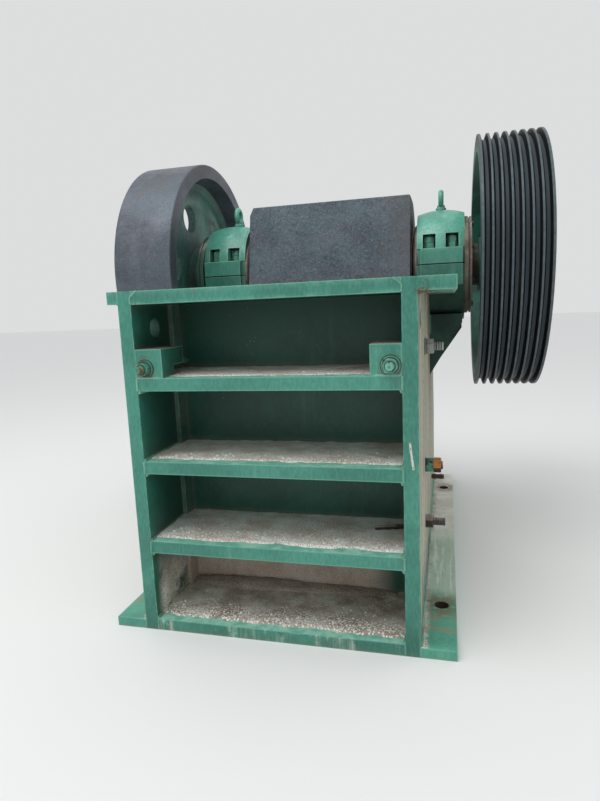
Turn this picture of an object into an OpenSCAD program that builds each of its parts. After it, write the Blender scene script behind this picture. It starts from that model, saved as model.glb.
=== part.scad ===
// Single-toggle jaw crusher with a welded plate frame, a plain flywheel and a grooved pulley.
// X runs along the shaft, the open front of the frame faces -Y, and Z is up from the floor.

/* [Frame] */
// Width over the two side plates
frame_w = 700; // [680:5:760]
// Length of the side plates and feet
frame_len = 1400; // [1380:10:1500]
// Height of the frame's top edge
frame_h = 863; // [840:1:900]
// Thickness of a side plate
side_t = 34; // [28:1:40]
// Height of a side plate's rear edge
tail_h = 330; // [260:10:420]
// Length of the side plates' top edge behind the shaft
top_back = 220; // [190:1:260]

/* [Front] */
// Depth of the open bays, from the front edge to the front wall
rib_depth = 230; // [180:5:250]
// Thickness of the front wall
wall_t = 34; // [28:1:40]
// Thickness of the top plate and of each rib
rib_t = 32; // [24:1:36]
// Thickness of the bottom plate
bottom_t = 30; // [24:1:36]
// Height from one rib to the next
rib_pitch = 207; // [195:1:215]
// Number of ribs between the top and bottom plates
rib_count = 3; // [2:1:3]
// Width of the flat bars in the rear corners of the bays
corner_bar = 44; // [30:1:50]
// Thickness of those bars
corner_bar_t = 12; // [8:1:14]
// Diameter of the lifting hole in each side plate
lift_d = 50; // [40:1:56]
// Distance of the lifting hole behind the front edge
lift_back = 109; // [80:1:130]
// Distance of the lifting hole below the frame's top edge
lift_down = 91; // [80:1:120]

/* [Feet and flanges] */
// Width of a foot beside its side plate
foot_w = 82; // [70:1:95]
// Thickness of a foot
foot_t = 25; // [20:1:32]
// Diameter of an anchor hole
anchor_d = 36; // [26:1:42]
// Distance of an anchor hole from the foot's end
anchor_end = 203; // [150:1:260]
// Distance of an anchor hole out from the side plate
anchor_out = 45; // [38:1:50]
// Width of the flange along the top of a side plate
flange_w = 80; // [70:1:95]
// Thickness of that flange
flange_t = 30; // [24:1:36]
// Width that the flame cut leaves at the left flange's front end
ear_w = 28; // [20:1:40]
// Length of that cut along the frame
ear_cut = 125; // [100:1:160]

/* [Brackets] */
// Width and height of a bracket's front face
bracket_w = 69; // [60:1:76]
// Depth of a bracket
bracket_depth = 116; // [90:1:140]
// Thickness of the bracket's plates
bracket_t = 14; // [10:1:18]
// Length of the slot in the bracket's side
bracket_slot = 54; // [40:1:70]
// Height of that slot
bracket_slot_h = 26; // [18:1:34]
// Thread diameter of the tie bolts
tie_d = 20; // [16:1:24]
// Distance of a tie bolt in from the side plate
tie_in = 24; // [20:1:32]
// Height of a tie bolt above the first rib
tie_up = 22; // [16:1:30]

/* [Shaft] */
// Distance of the shaft behind the frame's front edge
shaft_back = 952; // [940:1:960]
// Height of the shaft's axis above the frame's top edge
shaft_up = 71; // [64:1:80]
// Throw of the eccentric
throw = 10; // [6:1:12]
// Diameter of the eccentric inside the swing jaw
eccentric_d = 170; // [160:1:190]
// Diameter of the journals in the bearings
journal_d = 130; // [120:1:136]
// Diameter of the shaft ends that carry the wheels
end_d = 110; // [90:1:116]

/* [Bearings] */
// Half of the housing's depth in front of and behind the shaft
housing_half = 150; // [145:1:155]
// Height of the round part's centre above and below the shaft
housing_rise = 40; // [30:1:50]
// Length of a housing along the shaft
housing_w = 158; // [150:1:164]
// Reach of a housing past the side plate's inner face
housing_over = 7; // [4:1:10]
// Height of the cap's flange above the split
cap_flange_h = 53; // [44:1:60]
// Reach of the flanges in front of and behind the housing
flange_reach = 15; // [12:1:22]
// Distance from the housing's inner end to its flanges
flange_in = 13; // [8:1:18]
// Distance from the housing's outer end to its flanges
flange_out = 7; // [4:1:12]
// Radius of the cap's round part at its middle
cap_r = 155; // [150:1:160]
// Distance of the left eye bolt from the middle of its housing, towards the jaw
eye_over = 14; // [0:1:16]
// Height of the crown that the cap has between its ends
cap_crown = 13; // [6:1:16]
// Distance of a cap stud in front of and behind the shaft
stud_out = 110; // [104:1:114]
// Distance between the two studs at each end of a cap
stud_gap = 75; // [66:1:84]
// Width of the pocket in the cap that a stud's nut stands in
pocket_w = 42; // [36:1:46]
// Height of that pocket
pocket_h = 48; // [36:1:54]
// Bar diameter of the eye bolts
eye_bar = 18; // [14:1:20]
// Radius of the outer end covers
cover_r = 168; // [160:1:174]
// Thickness of the outer end covers
cover_t = 23; // [16:1:26]
// Radius of the inner end covers
inner_cover_r = 148; // [135:1:150]

/* [Wheels] */
// Radius of the flywheel and of the pulley
wheel_r = 425; // [400:5:440]
// Distance from the housing's outer end to the flywheel's inner face
flywheel_gap = 3; // [2:1:10]
// Width of the flywheel's rim
flywheel_w = 206; // [180:1:206]
// Thickness of the flywheel's rim
rim_t = 48; // [36:1:60]
// Thickness of the wheels' webs
web_t = 30; // [22:1:40]
// Distance from the flywheel's inner face to its web
flywheel_web = 74; // [66:1:90]
// Distance from the flywheel's inner face to its hub
flywheel_hub = 42; // [38:1:50]
// Outer radius of the wheels' hubs
hub_r = 92; // [84:1:110]
// Number of holes in each wheel's web
web_holes = 6; // [4:1:8]
// Diameter of a web hole
web_hole_d = 104; // [80:1:120]
// Radius of the circle that the web holes lie on
web_hole_r = 240; // [225:1:250]
// Distance from the housing's outer end to the pulley's inner face
pulley_gap = 38; // [34:1:46]
// Distance from the pulley's inner face to its web
pulley_web = 70; // [60:1:80]
// Distance from the pulley's inner face to its hub
pulley_hub = 10; // [6:1:16]
// Number of belt grooves
grooves = 7; // [5:1:7]
// Distance from one belt groove to the next
groove_pitch = 27; // [22:0.5:28]
// Width of a belt groove at the rim
groove_w = 21.5; // [16:0.5:22]
// Depth of a belt groove
groove_deep = 19; // [14:1:22]
// Distance from the outer groove's centre to the pulley's edge
groove_edge = 18; // [15:0.5:20]

/* [Crushing chamber] */
// Thickness of the cheek plates on the side plates
cheek_t = 16; // [10:1:20]
// Base thickness of the jaw plates, without the teeth
plate_t = 30; // [24:1:40]
// Height of the jaw plates' teeth
tooth_h = 25; // [16:1:30]
// Number of teeth across a jaw plate
teeth = 9; // [7:1:11]
// Narrowest gap between the tooth crests at the bottom
discharge = 75; // [60:5:110]
// Height of the ledge under the fixed jaw plate and the cheek plates
ledge_h = 40; // [30:1:50]
// Distance from the frame's top edge down to the top of the chamber's plates
plates_down = 13; // [8:1:20]
// Height of the swing jaw's lower edge
jaw_low = 80; // [70:1:100]
// Radius of the swing jaw's head
head_r = 251; // [230:1:254]
// Distance from the shaft to the flat front of the head
head_flat = 182; // [170:1:190]
// Lean of the head's flat front, from upright
head_lean = 12; // [8:1:14]
// Width of the corner that is missing at the head's left end
head_cut = 13; // [10:1:34]
// Height of that corner
head_cut_h = 32; // [20:1:80]
// Gap between the swing jaw and a cheek plate
jaw_gap = 12; // [8:1:16]
// Thickness of the swing jaw's slab behind its jaw plate
jaw_slab = 62; // [50:1:80]
// Thickness of a rib of the swing jaw
jaw_rib_t = 46; // [30:1:60]
// Number of those ribs
jaw_ribs = 4; // [3:1:5]
// Height of the lip that the moving jaw plate stands on
lip_h = 34; // [26:1:44]
// Height of the wedge over the moving jaw plate
wedge_h = 60; // [44:1:70]

/* [Toggle] */
// Thickness of the toggle plate
toggle_t = 40; // [30:1:46]
// Width of the toggle plate
toggle_w = 480; // [400:10:520]
// Open gap between the toggle plate and the swing jaw's seat
toggle_gap = 20; // [19:1:24]
// Distance of the swing jaw's toggle seat behind its lower edge
toggle_back = 190; // [180:1:200]
// Height of the swing jaw's toggle seat above its lower edge
toggle_up = 100; // [95:1:110]
// Rise of the toggle plate towards the rear
toggle_lift = 150; // [120:1:160]
// Depth of the rear toggle seat
seat_depth = 95; // [85:1:100]
// Depth of the shims behind the seat
shim_depth = 48; // [30:1:56]
// Number of shims
shims = 4; // [2:1:5]
// Distance from the rear wall's front face to the frame's rear end
rear_inset = 208; // [200:1:220]
// Height of the rear wall's lower edge
rear_wall_low = 170; // [160:1:190]
// Height of the rear wall's upper edge
rear_wall_high = 560; // [520:5:570]
// Depth of the rear wall's ribs
rear_rib_depth = 110; // [80:1:120]
// Diameter of the pull rod
rod_d = 34; // [28:1:36]
// Height of the pull rod
rod_h = 88; // [84:1:94]
// Diameter of the pull rod's pin
pin_d = 30; // [24:1:32]
// Wire diameter of the spring
spring_wire = 16; // [12:1:18]
// Mean radius of the spring
spring_r = 52; // [48:1:56]
// Length of the spring
spring_len = 126; // [110:1:126]
// Number of its coils
spring_turns = 5; // [4:1:6]
// Reach of the bolts beyond the frame's front edge
end_reach = 38; // [34:1:50]

/* [Hidden] */
$fn = 72;

paint = [0.20, 0.50, 0.42];
cast = [0.36, 0.38, 0.42];
steel = [0.55, 0.56, 0.58];
rusty = [0.45, 0.33, 0.26];

running = 0.06; // radial clearance of a journal in its bore
seat = 0.3; // gap where a piece is seated but not joined
past = 1; // how far a cut runs past the surface

front_y = -frame_len / 2;
inner_x = frame_w / 2 - side_t;
wall_front = front_y + rib_depth;
wall_back = wall_front + wall_t;
shaft_y = front_y + shaft_back;
shaft_h = frame_h + shaft_up;
core_h = shaft_h - throw; // height of the eccentric's centre at rest, straight below the shaft
plates_top = frame_h - plates_down;
plates_low = bottom_t + ledge_h;
mouth_w = 2 * (inner_x - cheek_t);
jaw_half = mouth_w / 2 - jaw_gap;
plate_all = plate_t + tooth_h;
tie_x = inner_x - tie_in;
tie_z = frame_h - rib_pitch + tie_up;

housing_x0 = inner_x - housing_over;
housing_x1 = housing_x0 + housing_w;
flange_x = [housing_x0 + flange_in, housing_x1 - flange_out];
housing_mid = (housing_x0 + housing_x1) / 2;
cap_top = shaft_h + housing_rise + cap_r;
gusset_t = 24;
gusset_drop = 190; // height of a housing gusset
gusset_pitch = 90;
inner_cover_t = 11.5;
washer_t = 4;

journal_end = housing_x1 + cover_t + past;
flywheel_in = housing_x1 + flywheel_gap;
pulley_in = housing_x1 + pulley_gap;
pulley_w = (grooves - 1) * groove_pitch + 2 * groove_edge;
pulley_out = pulley_in + pulley_w;
hub_back = 30; // how far the hubs stay inside the wheels' outer faces
fillet = 34; // size of the cast fillets between a web and its rim or hub

// The swing jaw's front seat runs from its foot to the head's flat face.
foot_y = wall_back + 2 * plate_all + discharge;
head_y = shaft_y - head_flat;
seat_lean = atan((head_y - foot_y) / (plates_top - jaw_low));
seat_len = (plates_top - jaw_low) / cos(seat_lean);
seat_spare = 49; // bare length of the seat above the wedge
head_top = core_h + head_r - past;
head_top_y = head_y + (head_top - plates_top) * tan(head_lean);
cover_hole = past;
jaw_cover_t = 4;
jaw_cover_r = 125;
spot_deep = 1.5; // depth of the flat spots that are cut for the eye bolts and the cap studs
eye_foot = eye_bar;
collar_t = 16;
groove_angle = 18; // slope of a belt groove's sides
tie_washer = 1.05 * tie_d;
tie_nut = 0.87 * tie_d;

// The toggle plate rises from the swing jaw to its seat in front of the rear wall.
rear_wall_y = -front_y - rear_inset;
toggle_jaw = [foot_y + toggle_back, jaw_low + toggle_up];
toggle_rear = [rear_wall_y - shim_depth - seat_depth, toggle_jaw[1] + toggle_lift];
toggle_slope = atan2(toggle_rear[1] - toggle_jaw[1], toggle_rear[0] - toggle_jaw[0]);
toggle_span = norm(toggle_rear - toggle_jaw);
rock_room = 8; // the swing jaw's toggle groove leaves the plate room to rock
groove_r = toggle_t / 2 + rock_room;
groove_short = 10; // how far in front of the groove's middle the toggle block ends
block_y = toggle_jaw[0] - groove_short;
block_up = 60;
block_down = 50;
guide_t = 30;
seat_low = toggle_rear[1] - 70;
seat_high = toggle_rear[1] + 90;

lug_t = 22;
lug_drop = 36; // from the toggle's height down to where a lug leaves the block
pin_back = 16;
pin_y = block_y + pin_back;
rod_room = 6; // the pull rod's way through its bracket, and before its nut
rod_slot = rod_d / 2 + throw + rod_room;
plate_w = 150; // width of the pull rod's bracket
spring_from = rear_wall_y + wall_t + 12;
spring_z = rod_h + throw;
spring_cap = 12;
rod_nut_y = spring_from + spring_len + spring_cap + throw + rod_room;
rod_nut_h = 0.8 * rod_d;
rod_tip = 18.8; // length of the pull rod behind its nut
rod_end = rod_nut_y + rod_nut_h + rod_tip;

// A box given by its low and high side along each axis.
module block(x, y, z) {
  translate([x[0], y[0], z[0]]) cube([x[1] - x[0], y[1] - y[0], z[1] - z[0]]);
}

// An outline drawn in Y and Z, made solid along X.
module across(x) {
  translate([x[0], 0, 0]) rotate([90, 0, 90]) linear_extrude(x[1] - x[0]) children();
}

// A profile of radius and reach along X, turned about the shaft line at height z.
module turned(z) {
  translate([0, shaft_y, z]) rotate([0, 90, 0]) rotate_extrude($fn = 144) children();
}

// A round bar or bore along X.
module bar_x(x, y, z, r) {
  translate([x[0], y, z]) rotate([0, 90, 0]) cylinder(h = x[1] - x[0], r = r, $fn = 96);
}

// A round bar or bore along Y.
module bar_y(x, y, z, r) {
  translate([x, y[0], z]) rotate([-90, 0, 0]) cylinder(h = y[1] - y[0], r = r);
}

module on_left() { mirror([1, 0, 0]) children(); }

module on_both() {
  children();
  on_left() children();
}

// Outline of the racetrack-shaped housing, grown by extra.
module housing_outline(extra) {
  for (side = [-1, 1]) translate([shaft_y, shaft_h + side * housing_rise]) circle(r = housing_half + extra);
  translate([shaft_y - housing_half - extra, shaft_h - housing_rise])
    square([2 * (housing_half + extra), 2 * housing_rise]);
}

module side_plate() {
  difference() {
    across([inner_x, frame_w / 2]) difference() {
      polygon([
        [front_y, 0], [-front_y, 0], [-front_y, tail_h],
        [shaft_y + top_back, frame_h - 2 * flange_t], [shaft_y + top_back, frame_h], [front_y, frame_h]
      ]);
      housing_outline(seat);
      translate([shaft_y - housing_half - seat, shaft_h]) square([2 * (housing_half + seat), housing_half]);
    }
    bar_x([inner_x - past, frame_w / 2 + past], front_y + lift_back, frame_h - lift_down, lift_d / 2);
  }
}

module side_plate_left() { color(paint) on_left() side_plate(); }
module side_plate_right() { color(paint) side_plate(); }

module foot() {
  difference() {
    block([frame_w / 2, frame_w / 2 + foot_w], [front_y, -front_y], [0, foot_t]);
    for (y = [front_y + anchor_end, -front_y - anchor_end])
      translate([frame_w / 2 + anchor_out, y, -past]) cylinder(h = foot_t + 2 * past, d = anchor_d);
  }
}

module foot_left() { color(paint) on_left() foot(); }
module foot_right() { color(paint) foot(); }

// The flange is cut through where the housing hangs in the side plate.
module top_flange() {
  x = [frame_w / 2, frame_w / 2 + flange_w];
  z = [frame_h - flange_t, frame_h];
  block(x, [front_y, shaft_y - housing_half - seat], z);
  block(x, [shaft_y + housing_half + seat, shaft_y + top_back], z);
}

module top_flange_right() { color(paint) top_flange(); }

// The left flange's front corner is cut away along a quarter of an oval.
module top_flange_left() {
  cut = flange_w - ear_w;
  color(paint) on_left() difference() {
    top_flange();
    translate([frame_w / 2 + flange_w, front_y, frame_h - flange_t - past])
      scale([1, ear_cut / cut, 1]) cylinder(h = flange_t + 2 * past, r = cut);
  }
}

module front_wall() {
  color(paint) block([-inner_x, inner_x], [wall_front, wall_back], [bottom_t, frame_h - rib_t]);
}

module top_plate() {
  color(paint) block([-inner_x, inner_x], [front_y, wall_back], [frame_h - rib_t, frame_h]);
}

module ribs() {
  color(paint) for (i = [1:rib_count]) {
    top = frame_h - i * rib_pitch;
    block([-inner_x, inner_x], [front_y, wall_front], [top - rib_t, top]);
  }
}

module bottom_plate() {
  color(paint) block([-inner_x, inner_x], [front_y, wall_back], [0, bottom_t]);
}

module corner_bars() {
  levels = [for (i = [0:rib_count]) frame_h - i * rib_pitch];
  color(paint) on_both() for (i = [0:rib_count]) {
    low = i == rib_count ? bottom_t : levels[i + 1];
    block([inner_x - corner_bar_t, inner_x], [wall_front - corner_bar, wall_front], [low, levels[i] - rib_t]);
  }
}

// A box on the first rib, against the side plate: its front takes the tie bolt, its side is slotted.
module bracket() {
  low = frame_h - rib_pitch;
  x = inner_x - bracket_w;
  back = front_y + bracket_depth;
  difference() {
    union() {
      block([x, inner_x], [front_y, front_y + bracket_t], [low, low + bracket_w]);
      block([x, x + bracket_t], [front_y, back], [low, low + bracket_w]);
      block([x, inner_x], [front_y, back], [low + bracket_w - bracket_t, low + bracket_w]);
    }
    bar_y(tie_x, [front_y - past, front_y + bracket_t + past], tie_z, tie_d / 2 + seat);
    block([x - past, x + bracket_t + past], [back - bracket_slot, back + past],
      [low - past, low + bracket_slot_h]);
  }
}

module bracket_left() { color(paint) on_left() bracket(); }
module bracket_right() { color(paint) bracket(); }

// The tie bolts run from the brackets to the front wall, each with a washer and a nut.
module tie_bolts() {
  nut_y = front_y - washer_t;
  color(rusty) on_both() {
    bar_y(tie_x, [front_y - end_reach, wall_front], tie_z, tie_d / 2);
    bar_y(tie_x, [nut_y, front_y], tie_z, tie_washer);
    translate([tie_x, nut_y, tie_z]) rotate([90, 0, 0]) cylinder(h = 0.8 * tie_d, r = tie_nut, $fn = 6);
  }
}

// A toothed wear plate: its back lies on y = 0, its teeth point to -Y, and it stands on z = 0.
module jaw_plate(width, height) {
  pitch = width / teeth;
  flank = [[0.08, 0], [0.34, 1], [0.66, 1], [0.92, 0]];
  outline = [for (i = [0:teeth - 1]) for (p = flank)
    [-width / 2 + (i + p[0]) * pitch, -plate_t - p[1] * tooth_h]];
  linear_extrude(height) polygon(concat([[-width / 2, 0], [-width / 2, -plate_t]], outline,
    [[width / 2, -plate_t], [width / 2, 0]]));
}

module fixed_jaw_plate() {
  color(steel) translate([0, wall_back, plates_low]) mirror([0, 1, 0])
    jaw_plate(mouth_w - 2 * past, plates_top - plates_low);
}

module jaw_plate_ledge() {
  color(paint) block([-inner_x, inner_x], [wall_back, wall_back + plate_t], [bottom_t, plates_low]);
}

module cheek_plate() {
  color(steel) across([inner_x - cheek_t, inner_x]) polygon([
    [wall_back, plates_low], [foot_y - plate_t, plates_low],
    [head_y - plate_all, plates_top], [wall_back, plates_top]
  ]);
}

module cheek_plate_left() { on_left() cheek_plate(); }
module cheek_plate_right() { cheek_plate(); }

module rear_wall() {
  color(paint) block([-inner_x, inner_x], [rear_wall_y, rear_wall_y + wall_t], [rear_wall_low, rear_wall_high]);
}

module rear_ribs() {
  y = [rear_wall_y + wall_t, rear_wall_y + wall_t + rear_rib_depth];
  color(paint) for (z = [rear_wall_low, (rear_wall_low + rear_wall_high - rib_t) / 2, rear_wall_high - rib_t])
    block([-inner_x, inner_x], y, [z, z + rib_t]);
}

// Rails on the side plates carry the toggle seat and its shims.
module seat_guides() {
  y = [toggle_rear[0], rear_wall_y];
  color(paint) on_both() {
    block([toggle_w / 2, inner_x], y, [seat_low - guide_t, seat_low]);
    block([toggle_w / 2, inner_x], y, [seat_high + seat, seat_high + seat + guide_t]);
  }
}

// The seat's groove is round at the bottom and opens out towards the toggle plate.
module toggle_seat() {
  r = toggle_t / 2 + seat;
  color(cast) across([-inner_x + seat, inner_x - seat]) difference() {
    translate([toggle_rear[0], seat_low]) square([seat_depth, seat_high - seat_low]);
    translate(toggle_rear) circle(r = r);
    translate(toggle_rear) polygon([[-past, -1.4 * r], [0.4 * r, -0.9 * r], [0.4 * r, 0.9 * r], [-past, 1.4 * r]]);
  }
}

module seat_shims() {
  thick = shim_depth / shims;
  color(rusty) for (i = [0:shims - 1]) {
    from = toggle_rear[0] + seat_depth + i * thick + seat;
    block([-inner_x + guide_t / 4, inner_x - guide_t / 4], [from, from + thick - seat],
      [seat_low, seat_high - guide_t / 3]);
  }
}

// The toggle plate lies in the rear seat. It is open at the swing jaw by the toggle gap.
module toggle_plate() {
  color(cast) translate([-toggle_w / 2, toggle_jaw[0], toggle_jaw[1]]) rotate([toggle_slope, 0, 0])
    rotate([90, 0, 90]) linear_extrude(toggle_w) {
      translate([toggle_gap, -toggle_t / 2]) square([toggle_span - toggle_gap, toggle_t]);
      translate([toggle_span, 0]) circle(d = toggle_t);
      translate([toggle_gap, 0]) circle(d = toggle_t);
    }
}

module pull_rod_bracket() {
  y = [rear_wall_y, spring_from];
  color(paint) difference() {
    block([-plate_w / 2, plate_w / 2], y, [rod_h - 0.4 * plate_w, rear_wall_low]);
    bar_y(0, [y[0] - past, y[1] + past], spring_z, rod_slot);
  }
}

// A coil spring: the crescent is a level cut through the wire, twisted up around the rod's line.
module pull_spring() {
  pitch = (spring_len - seat) / spring_turns;
  wire = spring_wire / 2;
  steps = 6;
  crescent = [for (side = [1, -1]) for (i = [-steps:steps - 1])
    let (t = side * i / steps, a = 360 * wire / pitch * t, w = side * wire * sqrt(1 - t * t))
    [(spring_r + w) * cos(a), (spring_r + w) * sin(a)]];
  color(cast) {
    translate([0, spring_from, spring_z]) rotate([-90, 0, 0])
      linear_extrude(pitch * spring_turns, twist = 360 * spring_turns, slices = 14 * spring_turns)
        polygon(crescent);
    difference() {
      bar_y(0, [spring_from + spring_len, spring_from + spring_len + spring_cap], spring_z, spring_r + wire);
      bar_y(0, [spring_from, spring_from + spring_len + spring_cap + past], spring_z, rod_slot);
    }
  }
}

// Lower half of a bearing housing: it hangs in the side plate and its flange rests on the frame.
module housing() {
  reach = housing_half + flange_reach;
  color(paint) difference() {
    union() {
      across([housing_x0, housing_x1]) intersection() {
        housing_outline(0);
        translate([shaft_y - reach, 0]) square([2 * reach, shaft_h]);
      }
      block(flange_x, [shaft_y - reach, shaft_y + reach], [frame_h, shaft_h]);
    }
    bar_x([0, frame_w], shaft_y, shaft_h, journal_d / 2 + running);
  }
}

module housing_left() { on_left() housing(); }
module housing_right() { housing(); }

// Bearing cap: a crowned dome over a flange, with the bearing's body showing below the dome's ends.
// Its four studs stand in pockets cut into the dome's front and back.
module cap(eye) {
  reach = housing_half + flange_reach;
  crown_r = (pow(housing_w / 2, 2) + pow(cap_crown, 2)) / (2 * cap_crown);
  body = cap_r - cap_crown - 2 * past;
  flange_top = shaft_h + cap_flange_h;
  pocket_mid = (stud_out + cap_r + past - pocket_w / 2) / 2;
  color(paint) difference() {
    union() {
      intersection() {
        turned(shaft_h + housing_rise) intersection() {
          translate([0, housing_x0]) square([cap_r, housing_w]);
          translate([cap_r - crown_r, housing_mid]) circle(r = crown_r, $fn = 144);
        }
        block([0, frame_w], [shaft_y - reach, shaft_y + reach], [flange_top, cap_top + past]);
      }
      block([housing_x0, housing_x1], [shaft_y - body, shaft_y + body], [shaft_h, flange_top]);
      block(flange_x, [shaft_y - reach, shaft_y + reach], [shaft_h, flange_top]);
    }
    bar_x([0, frame_w], shaft_y, shaft_h, journal_d / 2 + running);
    translate([eye, shaft_y, cap_top - spot_deep]) cylinder(h = 2 * spot_deep, r = eye_foot + past);
    for (x = [-stud_gap / 2, stud_gap / 2]) for (way = [-1, 1])
      translate([housing_mid + x, shaft_y + way * pocket_mid, flange_top - spot_deep]) stud_pocket();
  }
}

// Cut for the nut of a cap stud, open to the dome's outside.
module stud_pocket() {
  deep = cap_r + past - stud_out + pocket_w / 2;
  translate([-pocket_w / 2, -deep / 2, 0]) cube([pocket_w, deep, pocket_h + spot_deep]);
}

module cap_left() { on_left() cap(housing_mid - eye_over); }
module cap_right() { cap(housing_mid); }

// Height of the housing's underside at the near edge of a gusset.
function gusset_top(y) = shaft_h - housing_rise - seat
  - sqrt(pow(housing_half, 2) - pow(max(abs(y) - gusset_t / 2, 0), 2));

// Gussets under the housings, welded to the side plates' outer faces.
module housing_gussets() {
  low = shaft_h - housing_rise - housing_half - gusset_drop;
  reach = housing_x1 - frame_w / 2 - flange_out;
  color(paint) on_both() for (y = [-gusset_pitch, 0, gusset_pitch])
    translate([frame_w / 2, shaft_y + y + gusset_t / 2, 0]) rotate([90, 0, 0]) linear_extrude(gusset_t)
      polygon([[0, low], [0, gusset_top(y)], [reach, gusset_top(y)], [reach, gusset_top(y) - flange_t]]);
}

// End covers: the outer ones have a grooved edge, and both leave the shaft free.
module housing_covers() {
  bore = journal_d / 2 + cover_hole;
  step = cover_t / 4;
  color(rusty) on_both() {
    turned(shaft_h) translate([0, housing_x1]) polygon([
      [bore, 0], [cover_r, 0], [cover_r, 2 * step], [cover_r - step, 2 * step], [cover_r - step, 3 * step],
      [cover_r - 1, 3 * step], [cover_r - 1, cover_t], [bore, cover_t]
    ]);
    turned(shaft_h) translate([0, housing_x0 - inner_cover_t]) polygon([
      [bore, 0], [inner_cover_r - step, 0], [inner_cover_r, step],
      [inner_cover_r, inner_cover_t], [bore, inner_cover_t]
    ]);
  }
}

module eye_bolts() {
  ring = 1.25 * eye_bar;
  color(paint) for (x = [eye_over - housing_mid, housing_mid]) translate([x, shaft_y, cap_top - spot_deep + seat]) {
    translate([0, 0, ring + eye_bar]) rotate([0, 90, 0]) rotate_extrude()
      translate([ring, 0]) circle(d = eye_bar, $fn = 32);
    cylinder(h = eye_bar, d = 1.5 * eye_bar);
    cylinder(h = eye_bar / 2, r = eye_foot);
  }
}

// The eccentric's middle lies below the shaft line by the throw.
module eccentric_shaft() {
  color(steel) {
    bar_x([-jaw_half, jaw_half], shaft_y, core_h, eccentric_d / 2);
    on_both() bar_x([jaw_half - throw / 2, journal_end], shaft_y, shaft_h, journal_d / 2);
    bar_x([-pulley_out, pulley_out - 2 * throw], shaft_y, shaft_h, end_d / 2);
  }
}

// A wheel's section from its hub to the start of its rim, on the side away from the bearing or on it.
function hub_side(web, face, rim, way) = [
  [hub_r, face], [hub_r + 6, web + way * 0.4 * fillet], [hub_r + fillet, web],
  [rim - fillet, web], [rim - fillet / 3, web + way * 0.4 * fillet]
];
function reversed(list) = [for (i = [len(list) - 1:-1:0]) list[i]];

// The flywheel's profile runs from its inner face (0) to its outer face (flywheel_w).
module flywheel() {
  bore = end_d / 2 + seat;
  rim = wheel_r - rim_t;
  edge = 3;
  hub_out = flywheel_w - hub_back;
  color(cast) on_left() difference() {
    turned(shaft_h) translate([0, flywheel_in]) polygon(concat(
      [[bore, flywheel_hub]], hub_side(flywheel_web, flywheel_hub, rim, -1),
      [[rim, 0], [wheel_r - edge, 0], [wheel_r, edge],
        [wheel_r, flywheel_w - edge], [wheel_r - edge, flywheel_w], [rim, flywheel_w]],
      reversed(hub_side(flywheel_web + web_t, hub_out, rim, 1)), [[bore, hub_out]]
    ));
    web_hole_cuts(flywheel_in + flywheel_web);
  }
}

// Cuts for the web holes, the first one a little in front of the top.
module web_hole_cuts(x) {
  first = 20;
  for (i = [0:web_holes - 1]) {
    a = first + i * 360 / web_holes;
    y = shaft_y - web_hole_r * sin(a);
    z = shaft_h + web_hole_r * cos(a);
    bar_x([x - past, x + web_t + past], y, z, web_hole_d / 2);
  }
}

// The pulley's rim carries the belt grooves, and its web is near the inner face.
module pulley() {
  bore = end_d / 2 + seat;
  rim = wheel_r - rim_t - throw / 2;
  hub_out = pulley_w - hub_back;
  floor_w = groove_w - 2 * groove_deep * tan(groove_angle);
  groove = [[-groove_w, 0], [-floor_w, groove_deep], [floor_w, groove_deep], [groove_w, 0]];
  edge = [for (i = [0:grooves - 1]) for (p = groove)
    [wheel_r - p[1], groove_edge + i * groove_pitch + p[0] / 2]];
  color(cast) difference() {
    turned(shaft_h) translate([0, pulley_in]) polygon(concat(
      [[bore, pulley_hub]], hub_side(pulley_web, pulley_hub, rim, -1),
      [[rim, 0], [wheel_r, 0]], edge, [[wheel_r, pulley_w], [rim, pulley_w]],
      reversed(hub_side(pulley_web + web_t, hub_out, rim, 1)), [[bore, hub_out]]
    ));
    web_hole_cuts(pulley_in + pulley_web);
  }
}

// Spacers on the shaft between the bearings and the wheels' hubs.
module shaft_collars() {
  color(steel) {
    on_left() collar([journal_end, flywheel_in + flywheel_hub - seat]);
    collar([journal_end, pulley_in + pulley_hub - seat]);
  }
}

module collar(x) {
  difference() {
    bar_x(x, shaft_y, shaft_h, end_d / 2 + collar_t);
    bar_x([x[0] - past, x[1] + past], shaft_y, shaft_h, end_d / 2 + seat);
  }
}

// A point on the swing jaw's seat: y is behind the seat's face, z is up along it from the foot.
function seat_at(y, z) = [
  foot_y + y * cos(seat_lean) + z * sin(seat_lean), jaw_low - y * sin(seat_lean) + z * cos(seat_lean)
];

// Section through the swing jaw: its head, and the slab with the foot's lip and the toggle block.
module jaw_outline() {
  reach = head_r + past;
  intersection() {
    translate([shaft_y, core_h]) circle(r = head_r, $fn = 144);
    polygon([
      [head_y + past, core_h - reach], [head_y + past, plates_top], [head_top_y + past, head_top],
      [head_top_y + past, core_h + reach], [shaft_y + reach, core_h + reach], [shaft_y + reach, core_h - reach]
    ]);
  }
  polygon([
    [foot_y + 2 * jaw_slab, jaw_low], [foot_y, jaw_low], seat_at(-plate_t, 0), seat_at(-plate_t, lip_h),
    seat_at(0, lip_h), [head_y, plates_top], [head_top_y, head_top], [shaft_y, head_top],
    [shaft_y, core_h],
    [head_y + 1.6 * jaw_slab, plates_top - 40], seat_at(jaw_slab, 0.3 * seat_len),
    [block_y, toggle_jaw[1] + block_up], [block_y, toggle_jaw[1] - block_down]
  ]);
}

// A stiffening rib behind the slab, from the toggle block up to the back of the head.
module jaw_rib_outline() {
  polygon([
    seat_at(jaw_slab / 2, 0.1 * seat_len), [block_y - 6, toggle_jaw[1] + block_up - 10],
    [shaft_y + 0.5 * head_r, core_h - 0.75 * head_r], [shaft_y, core_h], [head_y + jaw_slab / 2, core_h - 20]
  ]);
}

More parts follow.
